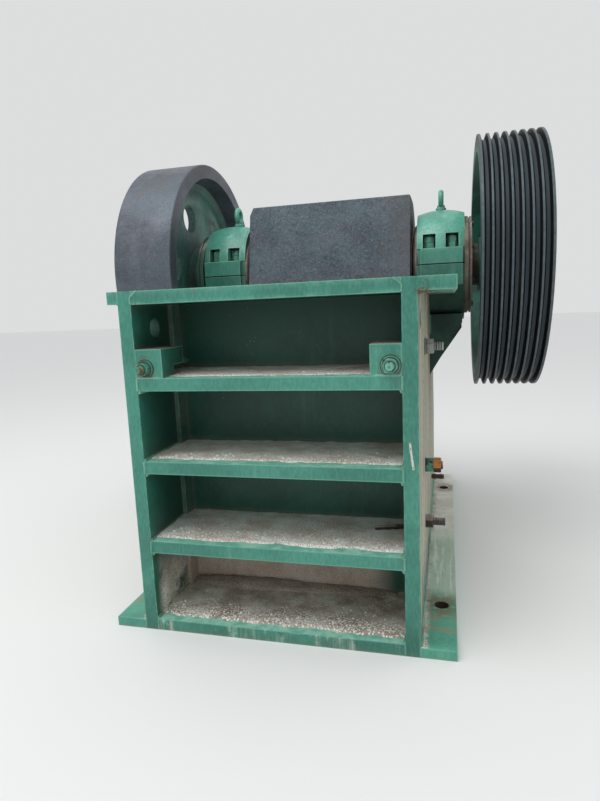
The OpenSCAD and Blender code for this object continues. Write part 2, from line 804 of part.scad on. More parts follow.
module pull_rod_lug() {
  across([rod_d, rod_d + lug_t]) {
    translate([pin_y, rod_h]) circle(r = rod_d);
    polygon([
      [pin_y - rod_d, rod_h], [pin_y + rod_d, rod_h],
      [block_y - lug_t / 6, toggle_jaw[1] - lug_drop], [pin_y - rod_d, toggle_jaw[1] - lug_drop]
    ]);
  }
}

module swing_jaw() {
  step = (2 * jaw_half - jaw_rib_t) / (jaw_ribs - 1);
  reach = jaw_half + past;
  color(cast) difference() {
    union() {
      across([-jaw_half, jaw_half]) jaw_outline();
      for (i = [0:jaw_ribs - 1])
        across([-jaw_half + i * step, -jaw_half + i * step + jaw_rib_t]) jaw_rib_outline();
      on_both() pull_rod_lug();
    }
    bar_x([-rod_d - lug_t - past, rod_d + lug_t + past], pin_y, rod_h, pin_d / 2 + seat);
    bar_x([-reach, reach], shaft_y, core_h, eccentric_d / 2 + running);
    bar_x([-reach, reach], toggle_jaw[0], toggle_jaw[1], groove_r);
    translate([0, core_h, 0]) rotate([90, 0, 0]) linear_extrude(2 * core_h) head_corners();
  }
}

// The head's upper corners as seen from the front: the left one is broken off, the right one is blunt.
module head_corners() {
  top = head_top + 2 * past;
  side = jaw_half + past;
  polygon([[-side, top - head_cut_h], [-jaw_half + head_cut, top], [-side, top]]);
  polygon([[side, top - head_cut / 2], [jaw_half - head_cut / 2, top], [side, top]]);
}

// Everything that lies on the swing jaw's front seat is placed along its lean.
module on_seat() {
  translate([0, foot_y, jaw_low]) rotate([-seat_lean, 0, 0]) children();
}

module moving_jaw_plate() {
  height = seat_len - lip_h - wedge_h - seat_spare - 2 * seat;
  color(steel) on_seat() translate([0, -seat, lip_h + seat]) jaw_plate(2 * jaw_half, height);
}

module jaw_plate_wedge() {
  color(cast) on_seat() translate([-jaw_half, -plate_t - seat, seat_len - wedge_h - seat_spare])
    cube([2 * jaw_half, plate_t, wedge_h]);
}

module jaw_end_covers() {
  color(rusty) on_both() difference() {
    bar_x([jaw_half, jaw_half + jaw_cover_t], shaft_y, core_h, jaw_cover_r);
    bar_x([jaw_half - past, jaw_half + jaw_cover_t + past], shaft_y, core_h, eccentric_d / 2 + cover_hole);
  }
}

// The pull rod hangs from a lug under the swing jaw and ends behind the spring.
module pull_rod() {
  color(cast) {
    difference() {
      union() {
        bar_y(0, [pin_y, rod_end], rod_h, rod_d / 2);
        bar_x([-rod_d + 2, rod_d - 2], pin_y, rod_h, rod_d);
      }
      bar_x([-rod_d, rod_d], pin_y, rod_h, pin_d / 2 + seat);
    }
    translate([0, rod_nut_y + rod_nut_h, rod_h]) rotate([90, 0, 0])
      cylinder(h = rod_nut_h, r = rod_d, $fn = 6);
  }
}

module pull_rod_pin() {
  color(steel) bar_x([-rod_d - lug_t - 4, rod_d + lug_t + 4], pin_y, rod_h, pin_d / 2);
}

side_plate_left();
side_plate_right();
foot_left();
foot_right();
top_flange_left();
top_flange_right();
front_wall();
top_plate();
ribs();
bottom_plate();
corner_bars();
bracket_left();
bracket_right();
tie_bolts();
fixed_jaw_plate();
jaw_plate_ledge();
cheek_plate_left();
cheek_plate_right();
rear_wall();
rear_ribs();
seat_guides();
toggle_seat();
seat_shims();
toggle_plate();
pull_rod_bracket();
pull_spring();
housing_left();
housing_right();
cap_left();
cap_right();
housing_gussets();
housing_covers();
eye_bolts();
eccentric_shaft();
flywheel();
pulley();
shaft_collars();
swing_jaw();
moving_jaw_plate();
jaw_plate_wedge();
jaw_end_covers();
pull_rod();
pull_rod_pin();
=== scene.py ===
import math
import random
import bpy
from mathutils import Matrix, Vector


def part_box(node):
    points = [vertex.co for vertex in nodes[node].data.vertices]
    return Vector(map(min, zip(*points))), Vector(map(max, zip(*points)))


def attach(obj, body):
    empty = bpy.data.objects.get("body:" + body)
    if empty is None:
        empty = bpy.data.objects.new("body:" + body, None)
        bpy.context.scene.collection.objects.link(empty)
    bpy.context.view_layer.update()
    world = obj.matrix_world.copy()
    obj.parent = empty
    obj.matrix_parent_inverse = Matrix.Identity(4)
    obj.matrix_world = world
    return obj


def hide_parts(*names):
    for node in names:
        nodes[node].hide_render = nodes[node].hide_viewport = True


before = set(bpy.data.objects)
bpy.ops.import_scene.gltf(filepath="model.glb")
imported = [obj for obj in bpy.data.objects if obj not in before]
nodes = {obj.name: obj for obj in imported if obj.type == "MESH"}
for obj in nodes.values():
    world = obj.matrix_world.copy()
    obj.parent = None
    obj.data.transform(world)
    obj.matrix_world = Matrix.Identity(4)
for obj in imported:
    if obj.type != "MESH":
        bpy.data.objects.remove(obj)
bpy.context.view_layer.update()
bpy.ops.object.select_all(action="DESELECT")
scene = bpy.context.scene
scene.view_settings.view_transform = "Standard"
print("crusher frame loaded,", len(nodes), "nodes")


def linear(shade):
    shares = [value / 255 for value in shade]
    return tuple(share / 12.92 if share <= 0.04 else ((share + 0.055) / 1.055) ** 2.4 for share in shares) + (1.0,)


def addNode(tree, kind, values=None, **settings):
    node = tree.nodes.new("ShaderNode" + kind)
    for key, value in settings.items():
        setattr(node, key, value)
    for key, value in (values or {}).items():
        setInput(node.inputs[key], value)
    return node


def setInput(socket, value):
    if isinstance(value, bpy.types.NodeSocket):
        value.id_data.links.new(value, socket)
    else:
        socket.default_value = value


def maths(operation, *values, clamp=False):
    tree = next(value.id_data for value in values if isinstance(value, bpy.types.NodeSocket))
    node = addNode(tree, "Math", operation=operation, use_clamp=clamp)
    for socket, value in zip(node.inputs, values):
        setInput(socket, value)
    return node.outputs[0]


def mixTone(mask, *pair):  # each of the pair is a socket, a colour or the name of a tone
    first, second = (tones[value] if isinstance(value, str) else value for value in pair)
    return addNode(mask.id_data, "Mix", {0: mask, 6: first, 7: second}, data_type="RGBA").outputs[2]


def mixValue(mask, first, second):
    return addNode(mask.id_data, "Mix", {0: mask, 2: first, 3: second}, data_type="FLOAT").outputs[0]


def ramp(value, low, high, smooth=True):  # 0 below low, 1 above high
    node = addNode(value.id_data, "MapRange", {"Value": value, "From Min": low, "From Max": high},
                   interpolation_type="SMOOTHSTEP" if smooth else "LINEAR")
    return node.outputs["Result"]


def newGroup(name, inputs, outputs=("Mask",)):  # effect() finds it by its name
    tree = bpy.data.node_groups.new(name, "ShaderNodeTree")
    for label, value in inputs.items():
        socket = tree.interface.new_socket(name=label, in_out="INPUT", socket_type="NodeSocketFloat")
        socket.default_value = value
    for label in outputs:
        tree.interface.new_socket(name=label, in_out="OUTPUT", socket_type="NodeSocketFloat")
    source = tree.nodes.new("NodeGroupInput").outputs
    result = tree.nodes.new("NodeGroupOutput").inputs
    place = addNode(tree, "TexCoord").outputs["Object"]
    return source, result, place


def noiseAt(place, scale, detail=5.0, rough=0.55, twist=0.0):
    return addNode(place.id_data, "TexNoise", {"Vector": place, "Scale": scale, "Detail": detail, "Roughness": rough,
                                               "Distortion": twist}).outputs[0]


def stretched(place, scale, turn=(0.0, 0.0, 0.0)):
    return addNode(place.id_data, "Mapping", {"Vector": place, "Rotation": turn, "Scale": scale}).outputs[0]


def makeEdgeWear():
    source, result, place = newGroup("edgeWear", {"Radius": 0.005, "Cover": 0.5, "Scale": 30.0})
    tree = place.id_data
    rounded = addNode(tree, "Bevel", {"Radius": source["Radius"]}, samples=4).outputs[0]
    flat = addNode(tree, "NewGeometry").outputs["Normal"]
    dot = addNode(tree, "VectorMath", {0: rounded, 1: flat}, operation="DOT_PRODUCT")
    bent = ramp(maths("SUBTRACT", 1.0, dot.outputs["Value"]), 0.01, 0.16)
    patches = noiseAt(place, source["Scale"], 6, 0.65)
    worn = ramp(maths("ADD", patches, maths("SUBTRACT", source["Cover"], 0.5)), 0.42, 0.6)
    setInput(result["Mask"], maths("MULTIPLY", bent, worn))


def makeSettledDust():
    source, result, place = newGroup("settledDust", {"Cover": 0.5, "Scale": 9.0, "Grain": 260.0}, ["Mask", "Speckle"])
    tree = place.id_data
    up = addNode(tree, "SeparateXYZ", {0: addNode(tree, "TexCoord").outputs["Normal"]}).outputs["Z"]
    level = ramp(up, 0.3, 0.85)
    drift = noiseAt(place, source["Scale"], 7, 0.62)
    fine = noiseAt(place, source["Grain"], 2, 0.5)
    body = maths("ADD", maths("MULTIPLY", drift, 0.8), maths("MULTIPLY", fine, 0.2))
    lie = ramp(maths("ADD", body, maths("SUBTRACT", source["Cover"], 0.5)), 0.42, 0.56)
    setInput(result["Mask"], maths("MULTIPLY", level, lie))
    dots = addNode(tree, "TexVoronoi", {"Vector": place, "Scale": source["Grain"]}).outputs["Distance"]
    setInput(result["Speckle"], ramp(dots, 0.36, 0.14))


# painted shade: a mask from ambient occlusion, strongest where the surroundings close in
def makeCornerShade():
    source, result, place = newGroup("paintedCornerShade", {"Reach": 0.03, "Low": 0.35, "High": 0.9})
    openness = addNode(place.id_data, "AmbientOcclusion", {"Distance": source["Reach"]}, samples=6).outputs["AO"]
    cloudy = maths("MULTIPLY", maths("SUBTRACT", noiseAt(place, 22, 5), 0.5), 0.3)
    setInput(result["Mask"], ramp(maths("ADD", openness, cloudy), source["High"], source["Low"], smooth=False))


def makePatches():
    source, result, place = newGroup("patches", {"Scale": 14.0, "Cover": 0.2, "Ragged": 0.08})
    broad = noiseAt(place, source["Scale"], 8, 0.68, 0.4)
    edge = maths("SUBTRACT", 0.72, maths("MULTIPLY", source["Cover"], 0.4))
    setInput(result["Mask"], ramp(broad, edge, maths("ADD", edge, source["Ragged"]), smooth=False))


def makeRuns():
    source, result, place = newGroup("runs", {"Scale": 20.0, "Cover": 0.5})
    tall = stretched(place, (1.0, 1.0, 0.05))
    lines = noiseAt(tall, source["Scale"], 5, 0.6)
    fade = noiseAt(place, 3.0, 3)
    body = maths("ADD", maths("MULTIPLY", lines, 0.7), maths("MULTIPLY", fade, 0.3))
    wet = maths("ADD", body, maths("SUBTRACT", source["Cover"], 0.5))
    setInput(result["Mask"], ramp(wet, 0.45, 0.62))


def makeCastSkin():
    source, result, place = newGroup("castSkin", {"Coarse": 60.0, "Fine": 320.0}, ["Height", "Tone"])
    lumps = noiseAt(place, source["Coarse"], 6, 0.6)
    sand = noiseAt(place, source["Fine"], 3, 0.6)
    closer = maths("MULTIPLY", source["Coarse"], 1.7)
    pits = addNode(place.id_data, "TexVoronoi", {"Vector": place, "Scale": closer}).outputs["Distance"]
    pitted = ramp(pits, 0.05, 0.3)
    height = maths("ADD", maths("MULTIPLY", lumps, 0.6), maths("MULTIPLY", sand, 0.25))
    setInput(result["Height"], maths("ADD", height, maths("MULTIPLY", pitted, 0.15)))
    setInput(result["Tone"], ramp(height, 0.3, 0.56))


def makeScratches():
    source, result, place = newGroup("scratches", {"Scale": 14.0, "Cover": 0.3})
    total = 0.0
    for turn in ((0.4, 0.2, 0.6), (1.3, 0.9, -0.5)):
        long = stretched(place, (1.0, 14.0, 14.0), turn)
        total = maths("MAXIMUM", ramp(noiseAt(long, source["Scale"], 2.0, 0.4), 0.7, 0.74), total)
    where = ramp(maths("ADD", noiseAt(place, 5, 3), source["Cover"]), 0.66, 0.86)
    setInput(result["Mask"], maths("MULTIPLY", total, where))


for make in (makeEdgeWear, makeSettledDust, makeCornerShade, makePatches, makeRuns, makeCastSkin, makeScratches):
    make()
print("shared effects built")


def effect(coat, name, output="Mask", **values):
    node = coat["tree"].nodes.new("ShaderNodeGroup")
    node.node_tree = bpy.data.node_groups[name]
    for key, value in values.items():
        setInput(node.inputs[key], value)
    return node.outputs[output]


def darker(tone, share):
    return tuple(share * part for part in tones[tone][:3]) + (1.0,)


def paintedShade(coat, reach, low, high):  # painted shade in corners, thickest where the surroundings leave less than low open
    return effect(coat, "paintedCornerShade", Reach=reach, Low=low, High=high)


def startCoat(name, first, second, scale, rough):
    material = bpy.data.materials.new(name)
    material.use_nodes = True
    tree = material.node_tree
    tree.nodes.clear()
    place = addNode(tree, "TexCoord").outputs["Object"]
    axes = addNode(tree, "SeparateXYZ", {0: place}).outputs
    cloudy = ramp(noiseAt(place, scale, 6, 0.6), 0.36, 0.64)
    fine = noiseAt(place, scale * 17, 3, 0.6)
    tone = mixTone(cloudy, first, second)
    tone = mixTone(maths("MULTIPLY", fine, 0.3), tone, darker(first, 0.55))
    return {"material": material, "tree": tree, "place": place, "axes": axes, "tone": tone,
            "rough": mixValue(fine, rough - 0.06, rough + 0.08), "height": 0.0, "metal": 0.0}


def layer(coat, mask, tone, rough, metal=None, strength=1.0):
    if strength != 1.0:
        mask = maths("MULTIPLY", mask, strength)
    coat["tone"] = mixTone(mask, coat["tone"], tone)
    coat["rough"] = mixValue(mask, coat["rough"], rough)
    if metal is not None:
        coat["metal"] = mixValue(mask, coat["metal"], metal)


def relief(coat, height, depth):  # depth in millimetres
    coat["height"] = maths("MULTIPLY_ADD", height, depth, coat["height"])


def finishCoat(coat, rounding=0.002, coatWeight=0.0, specular=0.5):
    tree = coat["tree"]
    soft = addNode(tree, "Bevel", {"Radius": rounding}, samples=4).outputs[0]
    bump = addNode(tree, "Bump", {"Distance": 0.001, "Strength": 1.0, "Height": coat["height"], "Normal": soft})
    shader = addNode(tree, "BsdfPrincipled", {
        "Base Color": coat["tone"], "Roughness": coat["rough"], "Metallic": coat["metal"], "Normal": bump.outputs[0],
        "Specular IOR Level": specular, "Coat Weight": coatWeight, "Coat Roughness": 0.25})
    addNode(tree, "OutputMaterial", {"Surface": shader.outputs[0]})
    return coat["material"]


shades = {  # red, green and blue as seen on screen
    "deepGreen": (51, 126, 108), "green": (71, 149, 129), "paleGreen": (126, 190, 168),
    # the dark bay green on the next line is painted shade, for bays and crevices
    "capGreen": (108, 192, 168), "capPale": (160, 216, 194), "paintedShadeGreen": (26, 66, 54),
    "bayMid": (40, 90, 75), "orange": (214, 150, 84), "footStain": (158, 142, 120),
    "headDark": (66, 81, 91), "headBlue": (90, 106, 116), "headBrown": (108, 98, 94),
    "black": (14, 20, 20), "dust": (172, 164, 150), "dustDark": (122, 114, 102),
    "dustLight": (190, 182, 170), "rust": (104, 70, 50), "rustDark": (62, 46, 38),
    "rustOrange": (176, 116, 62), "castBlue": (86, 90, 102), "castDark": (58, 61, 70),
    "steel": (132, 134, 138), "steelDark": (72, 74, 80), "zinc": (186, 190, 182),
    "sideDust": (204, 198, 178), "sideStain": (166, 158, 138), "cover": (104, 88, 74),
    "coverPale": (150, 140, 126), "footGreen": (92, 184, 152), "footGrey": (178, 200, 182),
    "wallShadeDeep": (20, 68, 55), "wallShadeGreen": (30, 92, 75), "pink": (186, 172, 160),
    "crumb": (212, 206, 194), "rim": (112, 117, 128), "rimDark": (72, 76, 86),
    "ground": (92, 84, 74), "land": (86, 99, 105), "dustPale": (222, 218, 206),
    "pinkPale": (222, 206, 192), "heap": (146, 130, 116), "bottomBrown": (172, 154, 138),
    "snow": (250, 248, 240), "stripGreen": (112, 186, 164), "tread": (86, 99, 109),
    "landDark": (72, 84, 90), "webDark": (44, 88, 80), "webGreen": (62, 118, 104),
    "brownish": (120, 92, 70), "floorHighlight": (56, 68, 76), "flank": (11, 16, 20),
    "bar": (104, 126, 116),
}
tones = {name: linear(shade) for name, shade in shades.items()}


def noise(coat, *settings):
    return noiseAt(coat["place"], *settings)


def paintCoat(name, first="deepGreen", second="green", edge="paleGreen", dust=0.5, chips=0.12, wear=0.5, bay=1.0,
              runs=0.3, rough=0.4, scratch=0.15, chip="rust", edgeSize=0.006, lumps=0.8, mottle=0.75):
    coat = startCoat(name, first, second, 5.0, rough)
    tall = stretched(coat["place"], (1.0, 1.0, 0.3))
    brushed = noiseAt(tall, 190.0, 4, 0.7)
    layer(coat, ramp(brushed, 0.42, 0.8), edge, rough + 0.05, strength=0.3 * mottle)
    layer(coat, ramp(brushed, 0.56, 0.2), "bayMid", rough + 0.1, strength=0.45 * mottle)
    layer(coat, effect(coat, "runs", Scale=24.0, Cover=0.42), edge, rough + 0.1, strength=runs)
    # painted shade deep in the bays
    layer(coat, paintedShade(coat, 0.32, 0.25, 0.72), "paintedShadeGreen", 0.5, strength=bay)
    layer(coat, effect(coat, "edgeWear", Radius=edgeSize, Cover=wear, Scale=26.0), edge, 0.5, strength=0.8)
    layer(coat, effect(coat, "scratches", Scale=12.0, Cover=0.2), edge, 0.5, strength=scratch)
    chipped = effect(coat, "patches", Scale=26.0, Cover=chips, Ragged=0.02)
    layer(coat, chipped, chip, 0.85)
    relief(coat, chipped, -0.3)
    # painted shade in tight corners, in a dark dust tone
    layer(coat, paintedShade(coat, 0.02, 0.3, 0.85), "dustDark", 0.85, strength=0.55)
    powder = effect(coat, "settledDust", Cover=dust, Scale=8.0, Grain=300.0)
    speckle = effect(coat, "settledDust", "Speckle", Cover=dust, Scale=8.0, Grain=300.0)
    layer(coat, powder, mixTone(speckle, "dustDark", "dust"), 0.95)
    relief(coat, maths("MULTIPLY", powder, speckle), 0.5)
    relief(coat, noise(coat, 340.0, 3), 0.12)
    relief(coat, noise(coat, 18.0, 4), lumps)
    return coat


def facing(coat, axis, low=0.5, high=0.8):  # axis such as "+Z", or "X" for both ways
    tree = coat["tree"]
    part = addNode(tree, "SeparateXYZ", {0: addNode(tree, "TexCoord").outputs["Normal"]}).outputs[axis[-1]]
    turned = maths("ABSOLUTE", part) if len(axis) == 1 else maths("MULTIPLY", part, float(axis[0] + "1"))
    return ramp(turned, low, high)


def along(coat, axis, low, high):  # rises from low to high; falls when low is above high
    return ramp(coat["axes"][axis], low, high)


def wide(coat, axis, low, high):  # the same for the distance from the middle plane
    return ramp(maths("ABSOLUTE", coat["axes"][axis]), low, high)


def near(value, centre, reach, full):  # 0 beyond reach from the centre, 1 within full
    return ramp(maths("ABSOLUTE", maths("SUBTRACT", value, centre)), reach, full)


def drifting(coat, axis, scale, detail, amount, rough=0.55):  # a place along an axis, blurred by noise
    return maths("MULTIPLY_ADD", noise(coat, scale, detail, rough), amount, coat["axes"][axis])


def both(*masks):  # where all of them are
    result = masks[0]
    for mask in masks[1:]:
        result = maths("MULTIPLY", result, mask)
    return result


def cloud(coat, scale, low, high, detail=6):
    return ramp(noise(coat, scale, detail, 0.62), low, high)


def streaks(coat, scale, low, high):  # lines that run lengthwise
    long = stretched(coat["place"], (1.0, 0.06, 1.0))
    return ramp(noiseAt(long, scale, 5, 0.65), low, high)


def grit(coat, scale, low=0.34, high=0.16):
    dots = addNode(coat["tree"], "TexVoronoi", {"Vector": coat["place"], "Scale": scale}).outputs["Distance"]
    return ramp(dots, low, high)


def distance(coat, flat, centre, mirror=""):  # within a plane such as "YZ", from a centre there
    squares = 0.0
    for axis, middle in zip(flat, centre):
        value = coat["axes"][axis]
        if axis in mirror:
            value = maths("ABSOLUTE", value)
        off = maths("SUBTRACT", value, middle)
        squares = maths("MULTIPLY_ADD", off, off, squares)
    return maths("SQRT", squares)


shaftLine = (0.252, 0.934)  # where the shaft's axis lies, across Y and Z
tieLine = (0.292, 0.678)  # where the tie bolts lie, across X and Z
footHole = (0.395, 0.497)  # where the feet are drilled, across X and Y
scratchFoot = (0.3304, 0.5093)  # a place on the side plate's slanting scratch, across X and Z


def dusted(coat, mask, first="dust", second="dustDark", scale=9.0, dots=0.8):
    tone = mixTone(cloud(coat, scale, 0.38, 0.62), second, first)
    tone = mixTone(grit(coat, 240.0, 0.3, 0.18), tone, "crumb")
    tone = mixTone(maths("MULTIPLY", grit(coat, 170.0, 0.36, 0.2), dots), tone, "ground")
    layer(coat, mask, tone, 0.95, 0.0)
    relief(coat, both(mask, grit(coat, 360.0)), 0.5)


def sideCoat():
    coat = paintCoat("sidePaint", dust=0.42)
    inner = wide(coat, "X", 0.3185, 0.3165)
    # painted shade on the inner face inside the bays
    inside = both(inner, along(coat, "Y", -0.692, -0.56), along(coat, "Z", 0.835, 0.82))
    layer(coat, inside, "paintedShadeGreen", 0.5, strength=0.62)
    foot = both(along(coat, "Z", 0.22, 0.12), along(coat, "Y", -0.69, -0.65), cloud(coat, 12.0, 0.3, 0.5))
    dusted(coat, both(inner, foot), "dustPale", "dust")
    outer = both(facing(coat, "X"), wide(coat, "X", 0.346, 0.349))
    low = both(along(coat, "Z", 0.2, 0.04), cloud(coat, 30.0, 0.4, 0.55))
    green = maths("ADD", along(coat, "Y", -0.655, -0.7), low)
    bare = both(outer, maths("SUBTRACT", 1.0, maths("MULTIPLY", green, 0.75, clamp=True)),
                ramp(noise(coat, 7.0, 7, 0.66), 0.24, 0.46))
    tone = mixTone(effect(coat, "runs", Scale=30.0, Cover=0.5), "sideStain", "sideDust")
    tone = mixTone(both(cloud(coat, 60.0, 0.5, 0.66), cloud(coat, 6.0, 0.4, 0.6)), tone, "cover")
    layer(coat, bare, tone, 0.92, strength=0.92)
    front = both(facing(coat, "-Y"), along(coat, "Y", -0.697, -0.699))
    aside, upward = (maths("SUBTRACT", coat["axes"][axis], middle) for axis, middle in zip("XZ", scratchFoot))
    slanted = maths("MULTIPLY_ADD", aside, 0.993, maths("MULTIPLY", upward, 0.12))
    off = maths("MULTIPLY_ADD", noise(coat, 130.0, 3), 0.0035, maths("ABSOLUTE", slanted))
    span = both(along(coat, "Z", 0.446, 0.45), along(coat, "Z", 0.511, 0.503))
    scratch = both(front, ramp(off, 0.0046, 0.0036), span)
    layer(coat, scratch, "crumb", 0.6)
    relief(coat, scratch, -0.3)
    for height, reach in ((0.494, 0.0045), (0.4525, 0.003)):
        spot = distance(coat, "XZ", (scratchFoot[0] + (scratchFoot[1] - height) * 0.121, height))
        bare = both(front, ramp(spot, reach, reach * 0.6), ramp(off, 0.003, 0.0022))
        layer(coat, bare, "steelDark", 0.6)
    return coat


def topCoat():
    coat = paintCoat("topPaint", wear=0.72, dust=0.52, chips=0.2, chip="brownish")
    lip = both(facing(coat, "-Y"), along(coat, "Z", 0.848, 0.862), cloud(coat, 60.0, 0.3, 0.7))
    layer(coat, lip, "paleGreen", 0.6, strength=0.3)
    layer(coat, both(lip, cloud(coat, 90.0, 0.56, 0.62)), "brownish", 0.9, strength=0.8)
    under = both(facing(coat, "-Y"), along(coat, "Z", 0.842, 0.834), cloud(coat, 20.0, 0.4, 0.6))
    layer(coat, under, "paleGreen", 0.5, strength=0.25)
    return coat


def ribCoat():
    coat = paintCoat("ribPaint", dust=0.3, wear=0.7, bay=0.55)
    back = both(facing(coat, "+Z"), along(coat, "Y", -0.678, -0.655))
    strip = both(facing(coat, "+Z"), along(coat, "Y", -0.655, -0.675))
    tone = mixTone(cloud(coat, 30.0, 0.4, 0.6), "stripGreen", "capPale")
    layer(coat, strip, tone, 0.5, strength=0.85)
    dusted(coat, both(back, cloud(coat, 40.0, 0.3, 0.46)), "dustPale", "dust")
    foot = both(facing(coat, "-Y"), along(coat, "Z", 0.034, 0.03))
    drips = both(foot, effect(coat, "runs", Scale=70.0, Cover=0.5), cloud(coat, 14.0, 0.44, 0.6))
    layer(coat, drips, "dustPale", 0.8, strength=0.6)
    worn = both(foot, cloud(coat, 24.0, 0.56, 0.66), along(coat, "X", 0.0, -0.2))
    layer(coat, worn, "capPale", 0.6, strength=0.7)
    return coat


def wallCoat():
    # the wall's two greens are darker than the frame's: painted shade for the deep bays
    coat = paintCoat("wallPaint", "wallShadeDeep", "wallShadeGreen", dust=0.8, bay=0.3, runs=0.12, scratch=0.0, mottle=0.25)
    # darker still towards the top: painted shade
    layer(coat, along(coat, "Z", 0.68, 0.84), "paintedShadeGreen", 0.6, strength=0.75)
    low = ramp(drifting(coat, "Z", 5.0, 5, 0.12), 0.3, 0.2)
    lain = both(low, along(coat, "X", 0.285, 0.2), cloud(coat, 16.0, 0.1, 0.34))
    dusted(coat, lain, "pink", "bottomBrown", 14.0, 0.3)
    specks = both(grit(coat, 60.0, 0.12, 0.06), cloud(coat, 9.0, 0.5, 0.66))
    layer(coat, specks, "dustLight", 0.9, strength=0.4)
    return coat


def footCoat():
    coat = paintCoat("footPaint", "green", "footGreen", dust=0.2, wear=0.8, bay=0.2)
    drift = drifting(coat, "Y", 18.0, 6, 0.07, 0.65)
    top = facing(coat, "+Z")
    worn = both(top, ramp(drift, -0.46, -0.36))
    patchy = effect(coat, "patches", Scale=30.0, Cover=0.5, Ragged=0.3)
    layer(coat, worn, mixTone(patchy, "footGrey", "dustPale"), 0.8)
    layer(coat, both(worn, streaks(coat, 90.0, 0.48, 0.62)), "snow", 0.8, strength=0.45)
    greener = both(worn, streaks(coat, 60.0, 0.5, 0.4), cloud(coat, 30.0, 0.4, 0.6))
    layer(coat, greener, "green", 0.6, strength=0.4)
    dusted(coat, both(top, ramp(drift, -0.1, 0.12)), "snow", "dustPale", dots=0.2)
    for middle in (-0.575, -0.525):
        band = both(top, near(drift, middle, 0.018, 0.006), cloud(coat, 60.0, 0.38, 0.56))
        layer(coat, band, "footStain", 0.9, strength=0.8)
    ring = distance(coat, "XY", footHole, "XY")
    stain = both(top, ramp(ring, 0.085, 0.026), cloud(coat, 70.0, 0.3, 0.5))
    layer(coat, stain, "brownish", 0.9, strength=0.7)
    dusted(coat, both(top, wide(coat, "X", 0.372, 0.356), cloud(coat, 40.0, 0.36, 0.5)), "dustPale", "dust")
    layer(coat, ramp(ring, 0.0195, 0.0185), "rustDark", 0.95)
    return coat


def barCoat():
    coat = paintCoat("barPaint", "bayMid", "bar", dust=0.5, bay=0.25, runs=0.5)
    layer(coat, both(grit(coat, 230.0), cloud(coat, 20.0, 0.4, 0.55)), "dust", 0.9, strength=0.6)
    lain = both(along(coat, "Z", 0.24, 0.16), along(coat, "X", 0.1, 0.0), cloud(coat, 30.0, 0.2, 0.4))
    dusted(coat, lain, "dust", "bottomBrown", dots=0.3)
    return coat


def bracketCoat():
    coat = paintCoat("bracketPaint", wear=0.66, dust=0.58, chips=0.2, chip="brownish")
    away = distance(coat, "XZ", tieLine, "X")
    front = facing(coat, "-Y")
    # painted shade in a ring around the tie bolt's washer
    ring = both(front, near(away, 0.022, 0.0024, 0.0008), cloud(coat, 60.0, 0.25, 0.4))
    layer(coat, ring, "paintedShadeGreen", 0.8, strength=0.85)
    halo = both(front, ramp(away, 0.034, 0.022), along(coat, "Z", 0.684, 0.666), cloud(coat, 80.0, 0.42, 0.56))
    layer(coat, halo, "brownish", 0.9, strength=0.7)
    return coat


def capCoat(name, first, second):
    coat = paintCoat(name, first, second, "capPale", dust=0.3, bay=0.05, wear=0.7, runs=0.4)
    patch = both(facing(coat, "+Z", 0.1, 0.7), cloud(coat, 7.0, 0.46, 0.6), cloud(coat, 45.0, 0.36, 0.5))
    dusted(coat, both(patch, along(coat, "X", 0.39, 0.43)))
    layer(coat, along(coat, "Z", 0.995, 0.97), "deepGreen", 0.45, strength=0.5)
    # below the flange: painted shadow of the flange and pulley, in dark green with black clouds
    layer(coat, along(coat, "Z", 0.89, 0.84), "paintedShadeGreen", 0.6, strength=0.8)
    layer(coat, both(along(coat, "Z", 0.87, 0.8), cloud(coat, 12.0, 0.35, 0.6)), "black", 0.7, strength=0.5)
    height = coat["axes"]["Z"]
    layer(coat, near(height, shaftLine[1], 0.0022, 0.0012), "black", 0.9)
    relief(coat, near(height, shaftLine[1], 0.003, 0.001), -1.2)
    return coat


def powdered(coat, tone, cover=0.5, scale=14.0, strength=1.0):
    powder = effect(coat, "settledDust", Cover=cover, Scale=scale, Grain=300.0)
    layer(coat, powder, tone, 0.9, 0.0, strength)


def castCoat(name, first, second, coarse=55.0, depth=1.6, rough=0.55, metal=0.25, rust=0.2):
    coat = startCoat(name, first, second, 9.0, rough)
    coat["metal"] = metal
    layer(coat, effect(coat, "castSkin", "Tone", Coarse=coarse, Fine=330.0), first, rough, strength=0.5)
    specks = both(grit(coat, 260.0, 0.22, 0.1), cloud(coat, 15.0, 0.35, 0.55))
    layer(coat, specks, "dustDark", 0.8, strength=0.6)
    # painted shade in corners and crevices
    layer(coat, paintedShade(coat, 0.04, 0.3, 0.85), "black", 0.8, strength=0.5)
    layer(coat, effect(coat, "edgeWear", Radius=0.006, Cover=0.6, Scale=40.0), "steel", 0.45, strength=0.6)
    rusty = both(cloud(coat, 11.0, 0.5, 0.64), cloud(coat, 70.0, 0.36, 0.52))
    layer(coat, rusty, "rust", 0.85, 0.0, strength=rust)
    relief(coat, effect(coat, "castSkin", "Height", Coarse=coarse, Fine=330.0), depth)
    return coat


